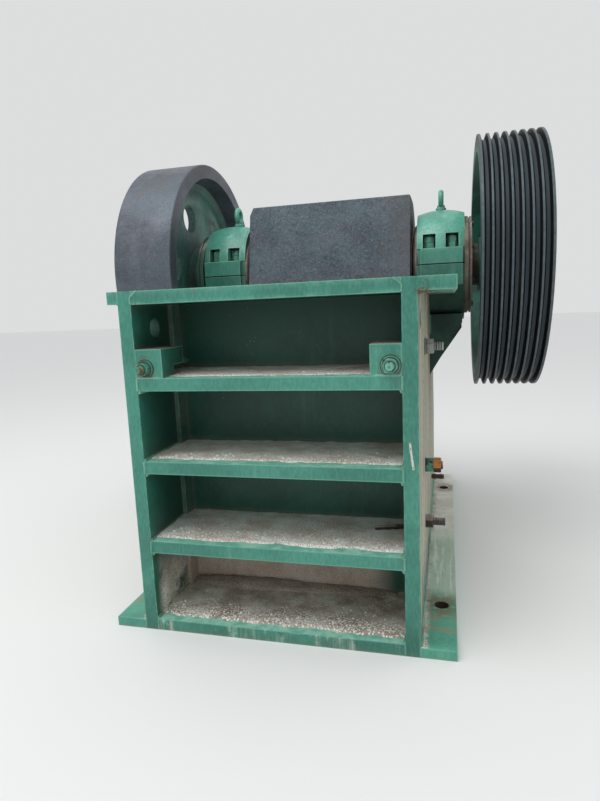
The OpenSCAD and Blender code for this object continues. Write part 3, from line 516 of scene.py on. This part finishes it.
def headCoat():
    coat = castCoat("headCasting", "headDark", "headBlue", 48.0, 2.4, 0.5, 0.2, 0.15)
    layer(coat, effect(coat, "scratches", Scale=16.0, Cover=0.3), "steel", 0.4, strength=0.16)
    bright = both(grit(coat, 210.0, 0.3, 0.18), cloud(coat, 34.0, 0.38, 0.6))
    layer(coat, bright, "steel", 0.5, strength=0.5)
    pitted = both(grit(coat, 150.0, 0.24, 0.14), cloud(coat, 26.0, 0.42, 0.6))
    layer(coat, pitted, "black", 0.8, strength=0.6)
    fine = noise(coat, 150.0, 5, 0.7, 1.2)
    layer(coat, ramp(fine, 0.5, 0.66), "steel", 0.45, strength=0.5)
    layer(coat, ramp(fine, 0.47, 0.34), "black", 0.7, strength=0.6)
    brown = both(along(coat, "X", 0.13, 0.29), cloud(coat, 8.0, 0.34, 0.56), cloud(coat, 80.0, 0.3, 0.5))
    layer(coat, brown, "headBrown", 0.8, 0.0, strength=0.4)
    low = both(facing(coat, "-Y", 0.2, 0.6), along(coat, "Z", 0.95, 0.86), cloud(coat, 12.0, 0.4, 0.6))
    layer(coat, low, "headBrown", 0.8, 0.0, strength=0.5)
    dusted(coat, both(along(coat, "Z", 0.86, 0.8), cloud(coat, 10.0, 0.3, 0.5)), "dustDark", "ground")
    powdered(coat, "dustDark", scale=30.0, strength=0.35)
    return coat


def flywheelCoat():
    coat = castCoat("wheelCasting", "rimDark", "rim", 30.0, 0.7, 0.42, 0.35, 0.1)
    reach = distance(coat, "YZ", shaftLine)
    tread = ramp(reach, 0.4225, 0.4245)
    layer(coat, both(tread, cloud(coat, 4.0, 0.35, 0.65)), "tread", 0.4, strength=0.8)
    wavy = maths("MULTIPLY_ADD", noise(coat, 16.0, 5), 0.012, reach)
    inside = ramp(wavy, 0.372, 0.366)
    inner = both(inside, wide(coat, "X", 0.66, 0.655))
    green = mixTone(cloud(coat, 6.0, 0.4, 0.62), "webDark", "webGreen")
    pale = effect(coat, "patches", Scale=9.0, Cover=0.45, Ragged=0.16)
    green = mixTone(maths("MULTIPLY", pale, 0.25), green, "paleGreen")
    crease = both(near(reach, 0.3, 0.03, 0.0), cloud(coat, 5.0, 0.3, 0.6))
    green = mixTone(maths("MULTIPLY", crease, 0.35), green, "footGrey")
    wornOff = both(cloud(coat, 20.0, 0.58, 0.62), cloud(coat, 5.0, 0.5, 0.62))
    layer(coat, both(inner, maths("SUBTRACT", 1.0, wornOff)), green, 0.45, 0.0)
    # painted shade in the corners, in a dark dust tone
    layer(coat, paintedShade(coat, 0.06, 0.3, 0.85), "dustDark", 0.85, 0.0, strength=0.4)
    powdered(coat, "dustDark", 0.44, 10.0, 0.25)
    fine = noise(coat, 170.0, 4, 0.7)
    layer(coat, ramp(fine, 0.5, 0.68), "steel", 0.5, strength=0.35)
    layer(coat, ramp(fine, 0.46, 0.32), "castDark", 0.6, strength=0.45)
    relief(coat, fine, 0.5)
    return coat


pulleyLow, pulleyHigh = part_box("pulley")
pulleyRadius = (pulleyHigh[2] - pulleyLow[2]) / 2  # out to the lands between the grooves


def pulleyCoat():
    # near-black all over: painted shade for the groove flanks
    coat = castCoat("pulleyCasting", "flank", "flank", 60.0, 0.4, 0.5, 0.35, 0.06)
    reach = distance(coat, "YZ", shaftLine)
    land = ramp(reach, pulleyRadius - 0.0022, pulleyRadius - 0.0008)
    # the groove floors lighter than the flanks: painted highlight
    bottom = both(ramp(reach, pulleyRadius - 0.0172, pulleyRadius - 0.0186),
                  ramp(reach, pulleyRadius - 0.026, pulleyRadius - 0.022))
    layer(coat, bottom, "floorHighlight", 0.5, strength=0.9)
    tone = mixTone(cloud(coat, 60.0, 0.36, 0.6), "landDark", "land")
    layer(coat, land, tone, 0.42, strength=0.95)
    web = ramp(reach, pulleyRadius - 0.03, pulleyRadius - 0.036)
    tone = mixTone(cloud(coat, 8.0, 0.4, 0.6), "bayMid", "deepGreen")
    layer(coat, web, tone, 0.55, 0.0, strength=0.85)
    layer(coat, effect(coat, "runs", Scale=40.0, Cover=0.4), "dustDark", 0.8, 0.0, strength=0.25)
    powdered(coat, "dustDark", 0.34, 10.0, 0.6)
    return coat


def coverCoat(name, first="cover", second="coverPale", rust=0.5):
    coat = castCoat(name, first, second, 70.0, 0.8, 0.62, 0.2, rust)
    dark = effect(coat, "patches", Scale=22.0, Cover=0.4, Ragged=0.1)
    layer(coat, dark, darker(first, 0.6), 0.85, 0.0, strength=0.6)
    painted = both(along(coat, "X", -0.455, -0.46), cloud(coat, 12.0, 0.25, 0.4))
    layer(coat, painted, "bayMid", 0.5, 0.0, strength=0.9)
    powdered(coat, "dustLight", strength=0.7)
    return coat


def wearCoat():
    coat = castCoat("wearSteel", "steelDark", "steel", 26.0, 1.6, 0.4, 0.7, 0.5)
    layer(coat, effect(coat, "runs", Scale=50.0, Cover=0.5), "dust", 0.85, 0.0, strength=0.5)
    powdered(coat, "dust", 0.6)
    return coat


def turnedCoat():
    coat = castCoat("machinedSteel", "steel", "steel", 20.0, 0.2, 0.3, 0.85, 0.25)
    rings = stretched(coat["place"], (40.0, 1.0, 1.0))
    relief(coat, noiseAt(rings, 30.0, 3), 0.12)
    layer(coat, cloud(coat, 30.0, 0.5, 0.62), "rustDark", 0.7, 0.0, strength=0.5)
    return coat


framePaint = finishCoat(paintCoat("framePaint", wear=0.66, dust=0.58, chips=0.2, chip="brownish"), coatWeight=0.12)
sidePaint = finishCoat(sideCoat(), coatWeight=0.1)
bracketPaint = finishCoat(bracketCoat(), coatWeight=0.12)
topPaint = finishCoat(topCoat(), coatWeight=0.12)
ribPaint = finishCoat(ribCoat(), coatWeight=0.12)
wallPaint = finishCoat(wallCoat())
footPaint = finishCoat(footCoat(), coatWeight=0.1)
barPaint = finishCoat(barCoat())
capPaint = finishCoat(capCoat("capPaint", "green", "capGreen"), 0.003, 0.2)
flangePaint = finishCoat(capCoat("flangePaint", "bayMid", "deepGreen"), 0.003, 0.15)
headCasting = finishCoat(headCoat(), 0.006, specular=0.4)
wheelCasting = finishCoat(flywheelCoat(), 0.003)
pulleyCasting = finishCoat(pulleyCoat(), 0.0015)
coverRust = finishCoat(coverCoat("coverRust"), 0.002)
wearSteel = finishCoat(wearCoat(), 0.003)
turnedSteel = finishCoat(turnedCoat(), 0.0015)
rustySteel = finishCoat(coverCoat("rustySteel", "rustDark", "rust", 0.7), 0.002)
darkCasting = finishCoat(castCoat("darkCasting", "castDark", "castBlue", rust=0.5), 0.003)

finishes = {
    sidePaint: ["side_plate_left", "side_plate_right"], ribPaint: ["ribs", "bottom_plate"], wallPaint: ["front_wall"],
    bracketPaint: ["bracket_left", "bracket_right"], topPaint: ["top_plate", "top_flange_left", "top_flange_right"],
    footPaint: ["foot_left", "foot_right"], barPaint: ["corner_bars"],
    capPaint: ["cap_left", "cap_right", "eye_bolts"],
    flangePaint: ["housing_left", "housing_right", "housing_gussets"], headCasting: ["swing_jaw"],
    wheelCasting: ["flywheel"], pulleyCasting: ["pulley"],
    coverRust: ["housing_covers", "shaft_collars", "jaw_end_covers"],
    wearSteel: ["fixed_jaw_plate", "moving_jaw_plate", "cheek_plate_left", "cheek_plate_right", "jaw_plate_wedge"],
    turnedSteel: ["eccentric_shaft", "pull_rod", "pull_rod_pin"],
    darkCasting: ["toggle_seat", "toggle_plate", "pull_spring"],
    rustySteel: ["seat_shims", "jaw_plate_ledge", "seat_guides", "pull_rod_bracket"]}
for node in nodes.values():
    node.data.materials.clear()
    node.data.materials.append(framePaint)
for material, names in finishes.items():
    for name in names:
        nodes[name].data.materials[0] = material
print("materials done")

zincCoat = castCoat("boltZinc", "zinc", "steel", 80.0, 0.3, 0.4, 0.3, 0.3)
# painted shade between the thread's ridges and round the nut
layer(zincCoat, paintedShade(zincCoat, 0.01, 0.4, 0.95), "black", 0.9, strength=0.9)
boltZinc = finishCoat(zincCoat, 0.0008)
boltDark = finishCoat(coverCoat("boltDark", "rustDark", "castDark", 0.8), 0.0008)


def boltCoat(name, chips, chip, first, second, creviceShade=0.95):
    coat = paintCoat(name, first, second, "capPale", dust=0.3, chips=chips, bay=0.0, wear=0.9, chip=chip,
                     edgeSize=0.0016, lumps=0.2, mottle=0.3)
    # painted shade in the bolt's crevices
    layer(coat, paintedShade(coat, 0.014, 0.4, 0.97), "paintedShadeGreen", 0.9, strength=creviceShade)
    return coat


def tieCoat(name, chips, chip, first, second):
    coat = boltCoat(name, chips, chip, first, second)
    away = distance(coat, "XZ", tieLine, "X")
    # painted shade in rings where the rod meets the nut and around the nut's edge
    for radius, reach in ((0.0112, 0.0014), (0.0178, 0.0018)):
        layer(coat, near(away, radius, reach, reach * 0.4), "paintedShadeGreen", 0.8, strength=0.85)
    layer(coat, ramp(away, 0.0036, 0.0022), "deepGreen", 0.7, strength=0.8)
    return coat


def orangeCoat():
    coat = coverCoat("boltOrange", "rust", "rustOrange", 0.4)
    # painted light on the upward faces, painted shade on the undersides and in crevices
    lit = both(facing(coat, "+Z", -0.1, 0.5), cloud(coat, 90.0, 0.3, 0.5))
    layer(coat, lit, "orange", 0.85, strength=0.8)
    layer(coat, facing(coat, "-Z", -0.3, 0.4), "rustDark", 0.9, strength=0.8)
    layer(coat, paintedShade(coat, 0.009, 0.3, 0.82), "black", 0.9, strength=0.6)
    return coat


boltGreen = finishCoat(tieCoat("boltGreen", 0.35, "rustDark", "green", "paleGreen"), 0.0006)
boltDull = finishCoat(boltCoat("boltDull", 0.5, "rustDark", "bayMid", "green"), 0.0006)
tieRust = finishCoat(tieCoat("tieRust", 0.46, "brownish", "deepGreen", "green"), 0.0006)
studPaint = finishCoat(boltCoat("studPaint", 0.3, "steelDark", "green", "capGreen", 0.45), 0.0006)
boltOrange = finishCoat(orangeCoat(), 0.0008)
weldPaint = finishCoat(paintCoat("weldPaint", "green", "paleGreen", dust=0.46, bay=0.3, wear=0.8), 0.001)


def dustCoat(name, first, second, white=0.8):
    coat = startCoat(name, second, first, 14.0, 0.95)
    front = ramp(drifting(coat, "Y", 14.0, 4, 0.1), -0.54, -0.62)
    pale = both(grit(coat, 165.0, 0.52, 0.34), maths("MULTIPLY_ADD", front, white, 0.12))
    layer(coat, pale, "snow", 0.9)
    dark = both(grit(coat, 190.0, 0.4, 0.26), maths("MULTIPLY_ADD", front, 0.5, 0.1))
    layer(coat, dark, "dustDark", 0.95)
    fine = both(grit(coat, 400.0, 0.4, 0.2), cloud(coat, 20.0, 0.35, 0.6))
    layer(coat, fine, "dustLight", 0.9, strength=0.7)
    relief(coat, noise(coat, 220.0, 4, 0.7), 2.2)
    relief(coat, grit(coat, 170.0, 0.45, 0.2), 0.8)
    return coat


earWeld = finishCoat(paintCoat("earWeld", second="footGrey", dust=0.4, chips=0.6, bay=0.0, wear=0.9,
                               chip="brownish", edgeSize=0.002), 0.001)
looseDust = finishCoat(dustCoat("looseDust", "snow", "pinkPale", 0.85), 0.001)
bottomDust = finishCoat(dustCoat("bottomDust", "dustPale", "bottomBrown", 0.9), 0.001)
heapDust = finishCoat(dustCoat("heapDust", "bottomBrown", "heap"), 0.001)


def freeze():
    bpy.ops.object.transform_apply(location=True, rotation=True, scale=True)


def startEdit():
    bpy.ops.object.mode_set(mode="EDIT")
    bpy.ops.mesh.select_mode(type="VERT")
    bpy.ops.mesh.select_all(action="SELECT")


def choose(kind, test):  # selects the vertices that pass the test, or the edges whose two ends do
    mesh = bpy.context.object.data
    bpy.ops.mesh.select_mode(type=kind)
    bpy.ops.mesh.select_all(action="DESELECT")
    bpy.ops.object.mode_set(mode="OBJECT")
    if kind == "VERT":
        for vertex in mesh.vertices:
            vertex.select = test(vertex.co)
    else:
        for edge in mesh.edges:
            edge.select = test(*(mesh.vertices[index].co for index in edge.vertices))
    bpy.ops.object.mode_set(mode="EDIT")


def endEdit():
    bpy.ops.mesh.select_all(action="SELECT")
    bpy.ops.mesh.remove_doubles(threshold=0.00001)
    bpy.ops.mesh.normals_make_consistent(inside=False)
    bpy.ops.object.mode_set(mode="OBJECT")
    return bpy.context.object


def startRod(count, radius, high):  # it stands on the origin
    bpy.ops.mesh.primitive_cylinder_add(vertices=count, radius=radius, depth=high, location=(0, 0, high / 2))
    freeze()
    startEdit()


def washer(radius, thick):
    startRod(36, radius, thick)
    choose("EDGE", lambda a, b: a.z > thick * 0.9 and b.z > thick * 0.9)
    bpy.ops.mesh.bevel(offset=thick * 0.25, segments=2, affect="EDGES")
    return endEdit()


def hexNut(flats, high):
    rim = flats * 0.577
    startRod(48, rim, high)
    choose("EDGE", lambda a, b: abs(a.z - b.z) < 1e-6 and a.xy.length > rim * 0.99 and b.xy.length > rim * 0.99)
    bpy.ops.mesh.bevel(offset=flats * 0.055, segments=1, affect="EDGES")
    for side in range(6):
        way = Vector((math.cos(side * math.pi / 3), math.sin(side * math.pi / 3), 0))
        bpy.ops.mesh.select_all(action="SELECT")
        bpy.ops.mesh.bisect(plane_co=way * flats / 2, plane_no=way, use_fill=True, clear_outer=True)
    return endEdit()


def threadedEnd(radius, high, pitch):
    startRod(24, radius, high)
    choose("EDGE", lambda a, b: abs(a.z - b.z) > high / 2)
    turns = max(2, round(high / pitch))
    bpy.ops.mesh.subdivide(number_cuts=2 * turns - 1)
    step = high / (2 * turns)
    choose("VERT", lambda v: round(v.z / step) % 2 == 0)
    bpy.ops.transform.resize(value=(0.8, 0.8, 1), center_override=(0, 0, high / 2))
    return endEdit()


def bead(start, end, radius):
    start, end = Vector(start), Vector(end)
    high = (end - start).length
    bpy.ops.mesh.primitive_cylinder_add(vertices=10, radius=radius, depth=high, location=(start + end) / 2)
    piece = bpy.context.object
    piece.rotation_euler = (end - start).to_track_quat("Z", "Y").to_euler()
    startEdit()
    choose("EDGE", lambda a, b: abs(a.z - b.z) > high / 2)
    cuts = max(3, int(high / 0.004))
    bpy.ops.mesh.subdivide(number_cuts=cuts)
    step = high / (cuts + 1)
    choose("VERT", lambda v: round((v.z + high / 2) / step) % 2 == 0)
    bpy.ops.transform.resize(value=(0.86, 0.86, 1.0), orient_type="LOCAL", center_override=(start + end) / 2)
    endEdit()
    freeze()
    return piece


def copyOf(piece):
    clone = piece.copy()
    clone.data = piece.data.copy()
    scene.collection.objects.link(clone)
    return clone


def put(piece, spot, toward=(0, 0, 1), spin=0.0):  # a copy of the piece
    clone = copyOf(piece)
    turn = Vector(toward).to_track_quat("Z", "Y").to_matrix() @ Matrix.Rotation(spin, 3, "Z")
    clone.rotation_euler = turn.to_euler()
    clone.location = spot
    return clone


def joined(name, members, material, angle=35):
    bpy.ops.object.select_all(action="DESELECT")
    for member in members:
        member.select_set(True)
    bpy.context.view_layer.objects.active = members[0]
    if len(members) > 1:
        bpy.ops.object.join()
    freeze()
    bpy.ops.object.shade_smooth_by_angle(angle=math.radians(angle))
    piece = bpy.context.object
    piece.name = name
    piece.data.materials.clear()
    piece.data.materials.append(material)
    piece.select_set(False)
    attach(piece, "frame")
    return piece


def roughen(piece, strength, scale, direction="NORMAL", group="", middle=0.5):
    texture = bpy.data.textures.new(piece.name + "Lumps", "CLOUDS")
    texture.noise_scale = scale
    texture.noise_depth = 3
    change = piece.modifiers.new("lumps", "DISPLACE")
    change.texture = texture
    change.texture_coords = "GLOBAL"
    change.direction = direction
    change.strength = strength
    change.mid_level = middle
    change.vertex_group = group
    bpy.context.view_layer.objects.active = piece
    bpy.ops.object.modifier_apply(modifier="lumps")


def scrap(*pieces):
    for piece in pieces:
        bpy.data.objects.remove(piece)


sides = ((1, "right"), (-1, "left"))

sideBolt = {"face": 0.350, "washer": 0.023, "thick": 0.004, "flats": 0.036, "nut": 0.021, "rod": 0.012, "end": 0.054,
            "pitch": 0.0068, "stub": 0.010, "stubEnd": 0.047, "stubPitch": 0.024}
flatWasher = washer(sideBolt["washer"], sideBolt["thick"])
bigNut = hexNut(sideBolt["flats"], sideBolt["nut"])
longEnd = threadedEnd(sideBolt["rod"], sideBolt["end"], sideBolt["pitch"])
stub = threadedEnd(sideBolt["stub"], sideBolt["stubEnd"], sideBolt["stubPitch"])
sideGroups = {  # place across Y and Z, coat, slot, and the pieces with how far out each starts and its turn
    "side_bolts_zinc_": ((-0.345, 0.691), boltZinc, "rusty_steel",
                         ((flatWasher, 0.0, 0.0), (bigNut, sideBolt["thick"], 0.2), (longEnd, -0.004, 0.0))),
    "side_bolts_green_": ((-0.350, 0.362), boltDull, "green_paint", ((bigNut, 0.0, 0.4),)),
    "side_bolts_orange_": ((-0.350, 0.362), boltOrange, "rusty_steel",
                           ((bigNut, 0.022, 0.7), (longEnd, -0.006, 0.0))),
    "side_bolts_dark_": ((-0.350, 0.198), boltDark, "rusty_steel", ((bigNut, 0.0, 0.1), (longEnd, 0.0, 0.0)))}
for side, label in sides:
    for name, (spot, material, slot, pieces) in sideGroups.items():
        members = [put(piece, (side * (sideBolt["face"] + out), *spot), (side, 0, 0), turn)
                   for piece, out, turn in pieces]
        joined(name + label, members, material)
for side, label in sides:
    joined("side_stub_" + label, [put(stub, (side * sideBolt["face"], 0.260, 0.145), (side, 0, 0))], boltDark)
scrap(flatWasher, bigNut, longEnd, stub)
print("side bolts done")

tie = {"face": -0.700, "front": -0.738, "washer": 0.021, "thick": 0.004, "flats": 0.030, "nut": 0.016, "rod": 0.010,
       "long": 0.268, "pitch": 0.0025}
tieWasher, tieNut = washer(tie["washer"], tie["thick"]), hexNut(tie["flats"], tie["nut"])
tieEnd = threadedEnd(tie["rod"], tie["long"], tie["pitch"])
for (side, label), material in zip(sides, (boltGreen, tieRust)):
    pieces = ((tieWasher, tie["face"], 0.0), (tieNut, tie["face"] - tie["thick"], 0.35 * side),
              (tieEnd, tie["front"] + tie["long"], 0.0))
    members = [put(piece, (side * tieLine[0], y, tieLine[1]), (0, -1, 0), turn) for piece, y, turn in pieces]
    joined("tie_bolt_" + label, members, material)
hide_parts("tie_bolts")
scrap(tieWasher, tieNut, tieEnd)

stud = {"xs": (0.3505, 0.4255), "ys": (0.142, 0.362), "floor": 0.9855, "flats": 0.034, "nut": 0.019, "rod": 0.012,
        "end": 0.052, "pitch": 0.0025, "washer": 0.0195, "thick": 0.003, "gap": 0.001}
studNut, studWasher = hexNut(stud["flats"], stud["nut"]), washer(stud["washer"], stud["thick"])
studEnd = threadedEnd(stud["rod"], stud["end"], stud["pitch"])
lowNut = stud["floor"] + stud["thick"]
highNut = lowNut + stud["nut"] + stud["gap"]
for side, label in sides:
    members = []
    for x in stud["xs"]:
        for y in stud["ys"]:
            for piece, height, turn in ((studWasher, stud["floor"], 0.0), (studNut, lowNut, x * 37 + y * 11),
                                        (studNut, highNut, x * 51 + y * 7), (studEnd, stud["floor"], 0.0)):
                members.append(put(piece, (side * x, y, height), spin=turn))
    joined("cap_studs_" + label, members, studPaint)
scrap(studNut, studEnd, studWasher)

screw = {"face": 0.490, "radius": 0.146, "count": 8, "flats": 0.017, "head": 0.007}
screwHead = hexNut(screw["flats"], screw["head"])
for side, label in sides:
    members = []
    for index in range(screw["count"]):
        angle = (index + 0.5) * 2 * math.pi / screw["count"]
        spot = (side * screw["face"], shaftLine[0] + screw["radius"] * math.cos(angle),
                shaftLine[1] + screw["radius"] * math.sin(angle))
        members.append(put(screwHead, spot, (side, 0, 0), index * 1.3))
    joined("cover_screws_" + label, members, boltDark)
scrap(screwHead)
print("tie bolts, studs and screws done")

weld = {"x": 0.3165, "front": -0.699, "back": -0.47, "ribs": (0.656, 0.449, 0.242), "floor": 0.031,
        "gussets": (0.162, 0.252, 0.342), "half": 0.0165, "rough": 0.003, "grain": 0.006}
seams = []  # the right side's, each with its start, end and radius
for top in weld["ribs"]:
    seams.append(((0.3162, -0.7000, top - 0.031), (0.3162, -0.7000, top - 0.001), 0.0034))
    for height, radius in ((top - 0.033, 0.0075), (top + 0.001, 0.0055)):
        seams.append(((weld["x"], weld["front"], height), (weld["x"], weld["back"], height), radius))
seams += [((weld["x"], weld["front"], weld["floor"]), (weld["x"], weld["back"], weld["floor"]), 0.0055),
          ((0.2990, -0.7002, 0.8622), (0.3172, -0.7002, 0.8478), 0.0030),
          ((0.3172, -0.7002, 0.8478), (0.3168, -0.7002, 0.8330), 0.0026),
          ((0.3500, -0.6950, 0.0255), (0.3500, 0.690, 0.0255), 0.0060),
          ((0.2575, -0.6985, 0.6565), (0.3160, -0.6985, 0.6565), 0.0030)]
for gusset in weld["gussets"]:
    for lip in (-weld["half"], weld["half"]):
        seams.append(((0.3500, gusset + lip, 0.70), (0.3500, gusset + lip, 0.765), 0.0050))
beads = []
for side in (1, -1):
    for first, last, radius in seams:
        beads.append(bead((side * first[0], *first[1:]), (side * last[0], *last[1:]), radius))
welds = joined("weld_beads", beads, weldPaint, angle=60)
roughen(welds, weld["rough"], weld["grain"])

ear = {"x": 0.351, "front": -0.6985, "back": -0.640, "low": 0.8335, "high": 0.8600, "radius": 0.0074,
       "under": 0.0065, "rough": 0.006, "grain": 0.008}
lumps = []
for step in range(5):
    x, y = ear["x"] + 0.0035 * step, ear["front"] + 0.001 * (step % 3)
    start, end = (x, y, ear["low"] + 0.002 * (step % 2)), (x + 0.002, y, ear["high"] - 0.0025 * step)
    lumps.append(bead(start, end, ear["radius"]))
for step in range(4):
    x = ear["x"] + 0.001 + 0.009 * step
    start, end = (x, ear["front"] + 0.0025, ear["low"] - 0.0005), (x + 0.001, ear["back"], ear["low"])
    lumps.append(bead(start, end, ear["under"] - 0.0008 * step))
roughen(joined("ear_weld", lumps, earWeld, angle=60), ear["rough"], ear["grain"])
print("welds done")

bay = {"tops": (0.656, 0.449, 0.242, 0.030), "thick": (0.0015, 0.0025, 0.0035, 0.0060), "wide": 0.636,
       "fronts": (-0.6785, -0.676, -0.682, -0.684), "back": -0.468, "lumps": (0.003, 0.005, 0.006, 0.010),
       "skirt": 0.012, "lead": 0.05}
heaps = {"bay_heap_1a": ((-0.11, -0.487, 0.034), (0.22, 0.035, 0.018)),
         "bay_heap_1b": ((0.12, -0.478, 0.032), (0.17, 0.03, 0.014))}
for index, (top, thick, front, lump) in enumerate(zip(bay["tops"], bay["thick"], bay["fronts"], bay["lumps"])):
    middle, deep = (front + bay["back"]) / 2, bay["back"] - front
    bpy.ops.mesh.primitive_grid_add(x_subdivisions=110, y_subdivisions=36, size=1, location=(0, middle, top + thick))
    sheet = bpy.context.object
    sheet.scale = (bay["wide"], deep, 1)
    freeze()
    startEdit()
    bpy.ops.mesh.extrude_region_move(TRANSFORM_OT_translate={"value": (0, 0, -bay["skirt"])})
    choose("VERT", lambda v: v.y < front + 0.004 and v.z > top)
    bpy.ops.transform.translate(value=(0, 0, -thick - 0.002))
    endEdit()
    sheet.name = "bay_dust_" + str(index + 1)
    upper = sheet.vertex_groups.new(name="upper")
    upper.add([v.index for v in sheet.data.vertices if v.co.z > top - 0.004], 1.0, "REPLACE")
    lead = sheet.vertex_groups.new(name="lead")
    for v in sheet.data.vertices:
        if v.co.y < front + bay["lead"]:
            lead.add([v.index], max(0.0, 1 - (v.co.y - front) / bay["lead"]), "REPLACE")
    roughen(sheet, lump, 0.035, "Z", "upper")
    roughen(sheet, 0.03, 0.045, "Y", "lead", 0.3)
    lowest = index == len(bay["tops"]) - 1
    for name, (centre, reach) in heaps.items() if lowest else ():
        bpy.ops.mesh.primitive_uv_sphere_add(segments=72, ring_count=24, radius=1, location=centre)
        mound = bpy.context.object
        mound.scale = reach
        freeze()
        roughen(mound, 0.012, 0.02)
        joined(name, [mound], heapDust, angle=60)
    joined(sheet.name, [sheet], bottomDust if lowest else looseDust, angle=60)
print("dust sheets done")

crumb = {"counts": (30, 150, 280, 260), "small": (0.0014, 0.0026), "large": (0.003, 0.005), "wide": 0.305,
         "behind": 0.012, "spread": 0.04, "deepest": 0.19, "seed": 41}
random.seed(crumb["seed"])
bpy.ops.mesh.primitive_ico_sphere_add(subdivisions=1, radius=1)
pebble = bpy.context.object
startEdit()
bpy.ops.mesh.bevel(offset=0.18, segments=1, affect="EDGES")
endEdit()
crumbs = []
for top, thick, front, count in zip(bay["tops"], bay["thick"], bay["fronts"], crumb["counts"]):
    for _ in range(count):
        clone = copyOf(pebble)
        size = random.uniform(*crumb["small"] if random.random() < 0.9 else crumb["large"])
        depth = min(abs(random.gauss(0.0, crumb["spread"])), crumb["deepest"])
        across = random.uniform(-crumb["wide"], crumb["wide"])
        clone.location = (across, front + crumb["behind"] + depth, top + thick + size * 0.2)
        clone.scale = [size * random.uniform(*span) for span in ((0.8, 1.4), (0.8, 1.3), (0.5, 0.9))]
        clone.rotation_euler = [random.uniform(*span) for span in ((-0.4, 0.4), (-0.4, 0.4), (0, 6.28))]
        crumbs.append(clone)
scrap(pebble)
crumbStone = finishCoat(dustCoat("crumbStone", "snow", "dustPale"), 0.0005)
joined("bay_crumbs", crumbs, crumbStone, angle=20)

rod = {"radius": 0.0065, "long": 0.088, "pitch": 0.022, "spot": (0.2321, -0.5537, 0.2505),
       "way": (0.0685, 0.0201, 0.0)}
rodEnd = threadedEnd(rod["radius"], rod["long"], rod["pitch"])
joined("loose_rod", [put(rodEnd, rod["spot"], rod["way"])], boltDark)
scrap(rodEnd)
print("crumbs and rod done")

# the camera stands where the photograph's did, solved from edges in the picture
view = {"eye": (0.4094, -1.9322, 0.8071), "forward": (-0.24903, 0.95532, -0.15919), "yaw": -14.61, "roll": -2.41,
        "focal": 572.67, "across": 600, "sensor": 36.0}
forward = Vector(view["forward"]).normalized()
yaw, roll = math.radians(view["yaw"]), math.radians(view["roll"])
level = Vector((math.cos(yaw), -math.sin(yaw), 0.0))
above = level.cross(forward)
right = level * math.cos(roll) + above * math.sin(roll)
top = above * math.cos(roll) - level * math.sin(roll)
cameraData = bpy.data.cameras.new("camera")
cameraData.sensor_width = view["sensor"]
cameraData.lens = view["sensor"] * view["focal"] / view["across"]
cameraData.sensor_fit = "HORIZONTAL"
camera = bpy.data.objects.new("camera", cameraData)
scene.collection.objects.link(camera)
camera.matrix_world = Matrix((right, top, -forward)).transposed().to_4x4()
camera.location = view["eye"]
scene.camera = camera

bpy.ops.mesh.primitive_plane_add(size=60, location=(0, 0, 0))
floor = bpy.context.object
floor.name = "floor"
floorMaterial = bpy.data.materials.new("floor")
floorMaterial.use_nodes = True
floorShader = floorMaterial.node_tree.nodes["Principled BSDF"]
floorShader.inputs["Base Color"].default_value = (0.85, 0.845, 0.83, 1)
floorShader.inputs["Roughness"].default_value = 0.9
floor.data.materials.append(floorMaterial)

world = bpy.data.worlds.new("studio")
scene.world = world
world.use_nodes = True
tree = world.node_tree
tree.nodes.clear()
soft = addNode(tree, "Background", {"Color": (0.95, 0.98, 1.0, 1), "Strength": 0.8})
seen = addNode(tree, "Background", {"Color": (0.72, 0.73, 0.73, 1), "Strength": 1.0})
path = addNode(tree, "LightPath")
shown = maths("MAXIMUM", path.outputs["Is Camera Ray"],
              maths("MAXIMUM", path.outputs["Is Glossy Ray"], path.outputs["Is Transmission Ray"]))
blend = addNode(tree, "MixShader", {0: shown, 1: soft.outputs[0], 2: seen.outputs[0]})
addNode(tree, "OutputWorld", {"Surface": blend.outputs[0]})

lamp = {"spot": (-0.8, -1.6, 4.2), "aim": (0, 0, 0.6), "size": 3.0, "power": 75}
lampData = bpy.data.lights.new("overhead", "AREA")
lampData.shape = "DISK"
lampData.size = lamp["size"]
lampData.energy = lamp["power"]
overhead = bpy.data.objects.new("overhead", lampData)
scene.collection.objects.link(overhead)
overhead.location = lamp["spot"]
overhead.rotation_euler = (Vector(lamp["aim"]) - Vector(lamp["spot"])).to_track_quat("-Z", "Y").to_euler()
print("camera and light done")
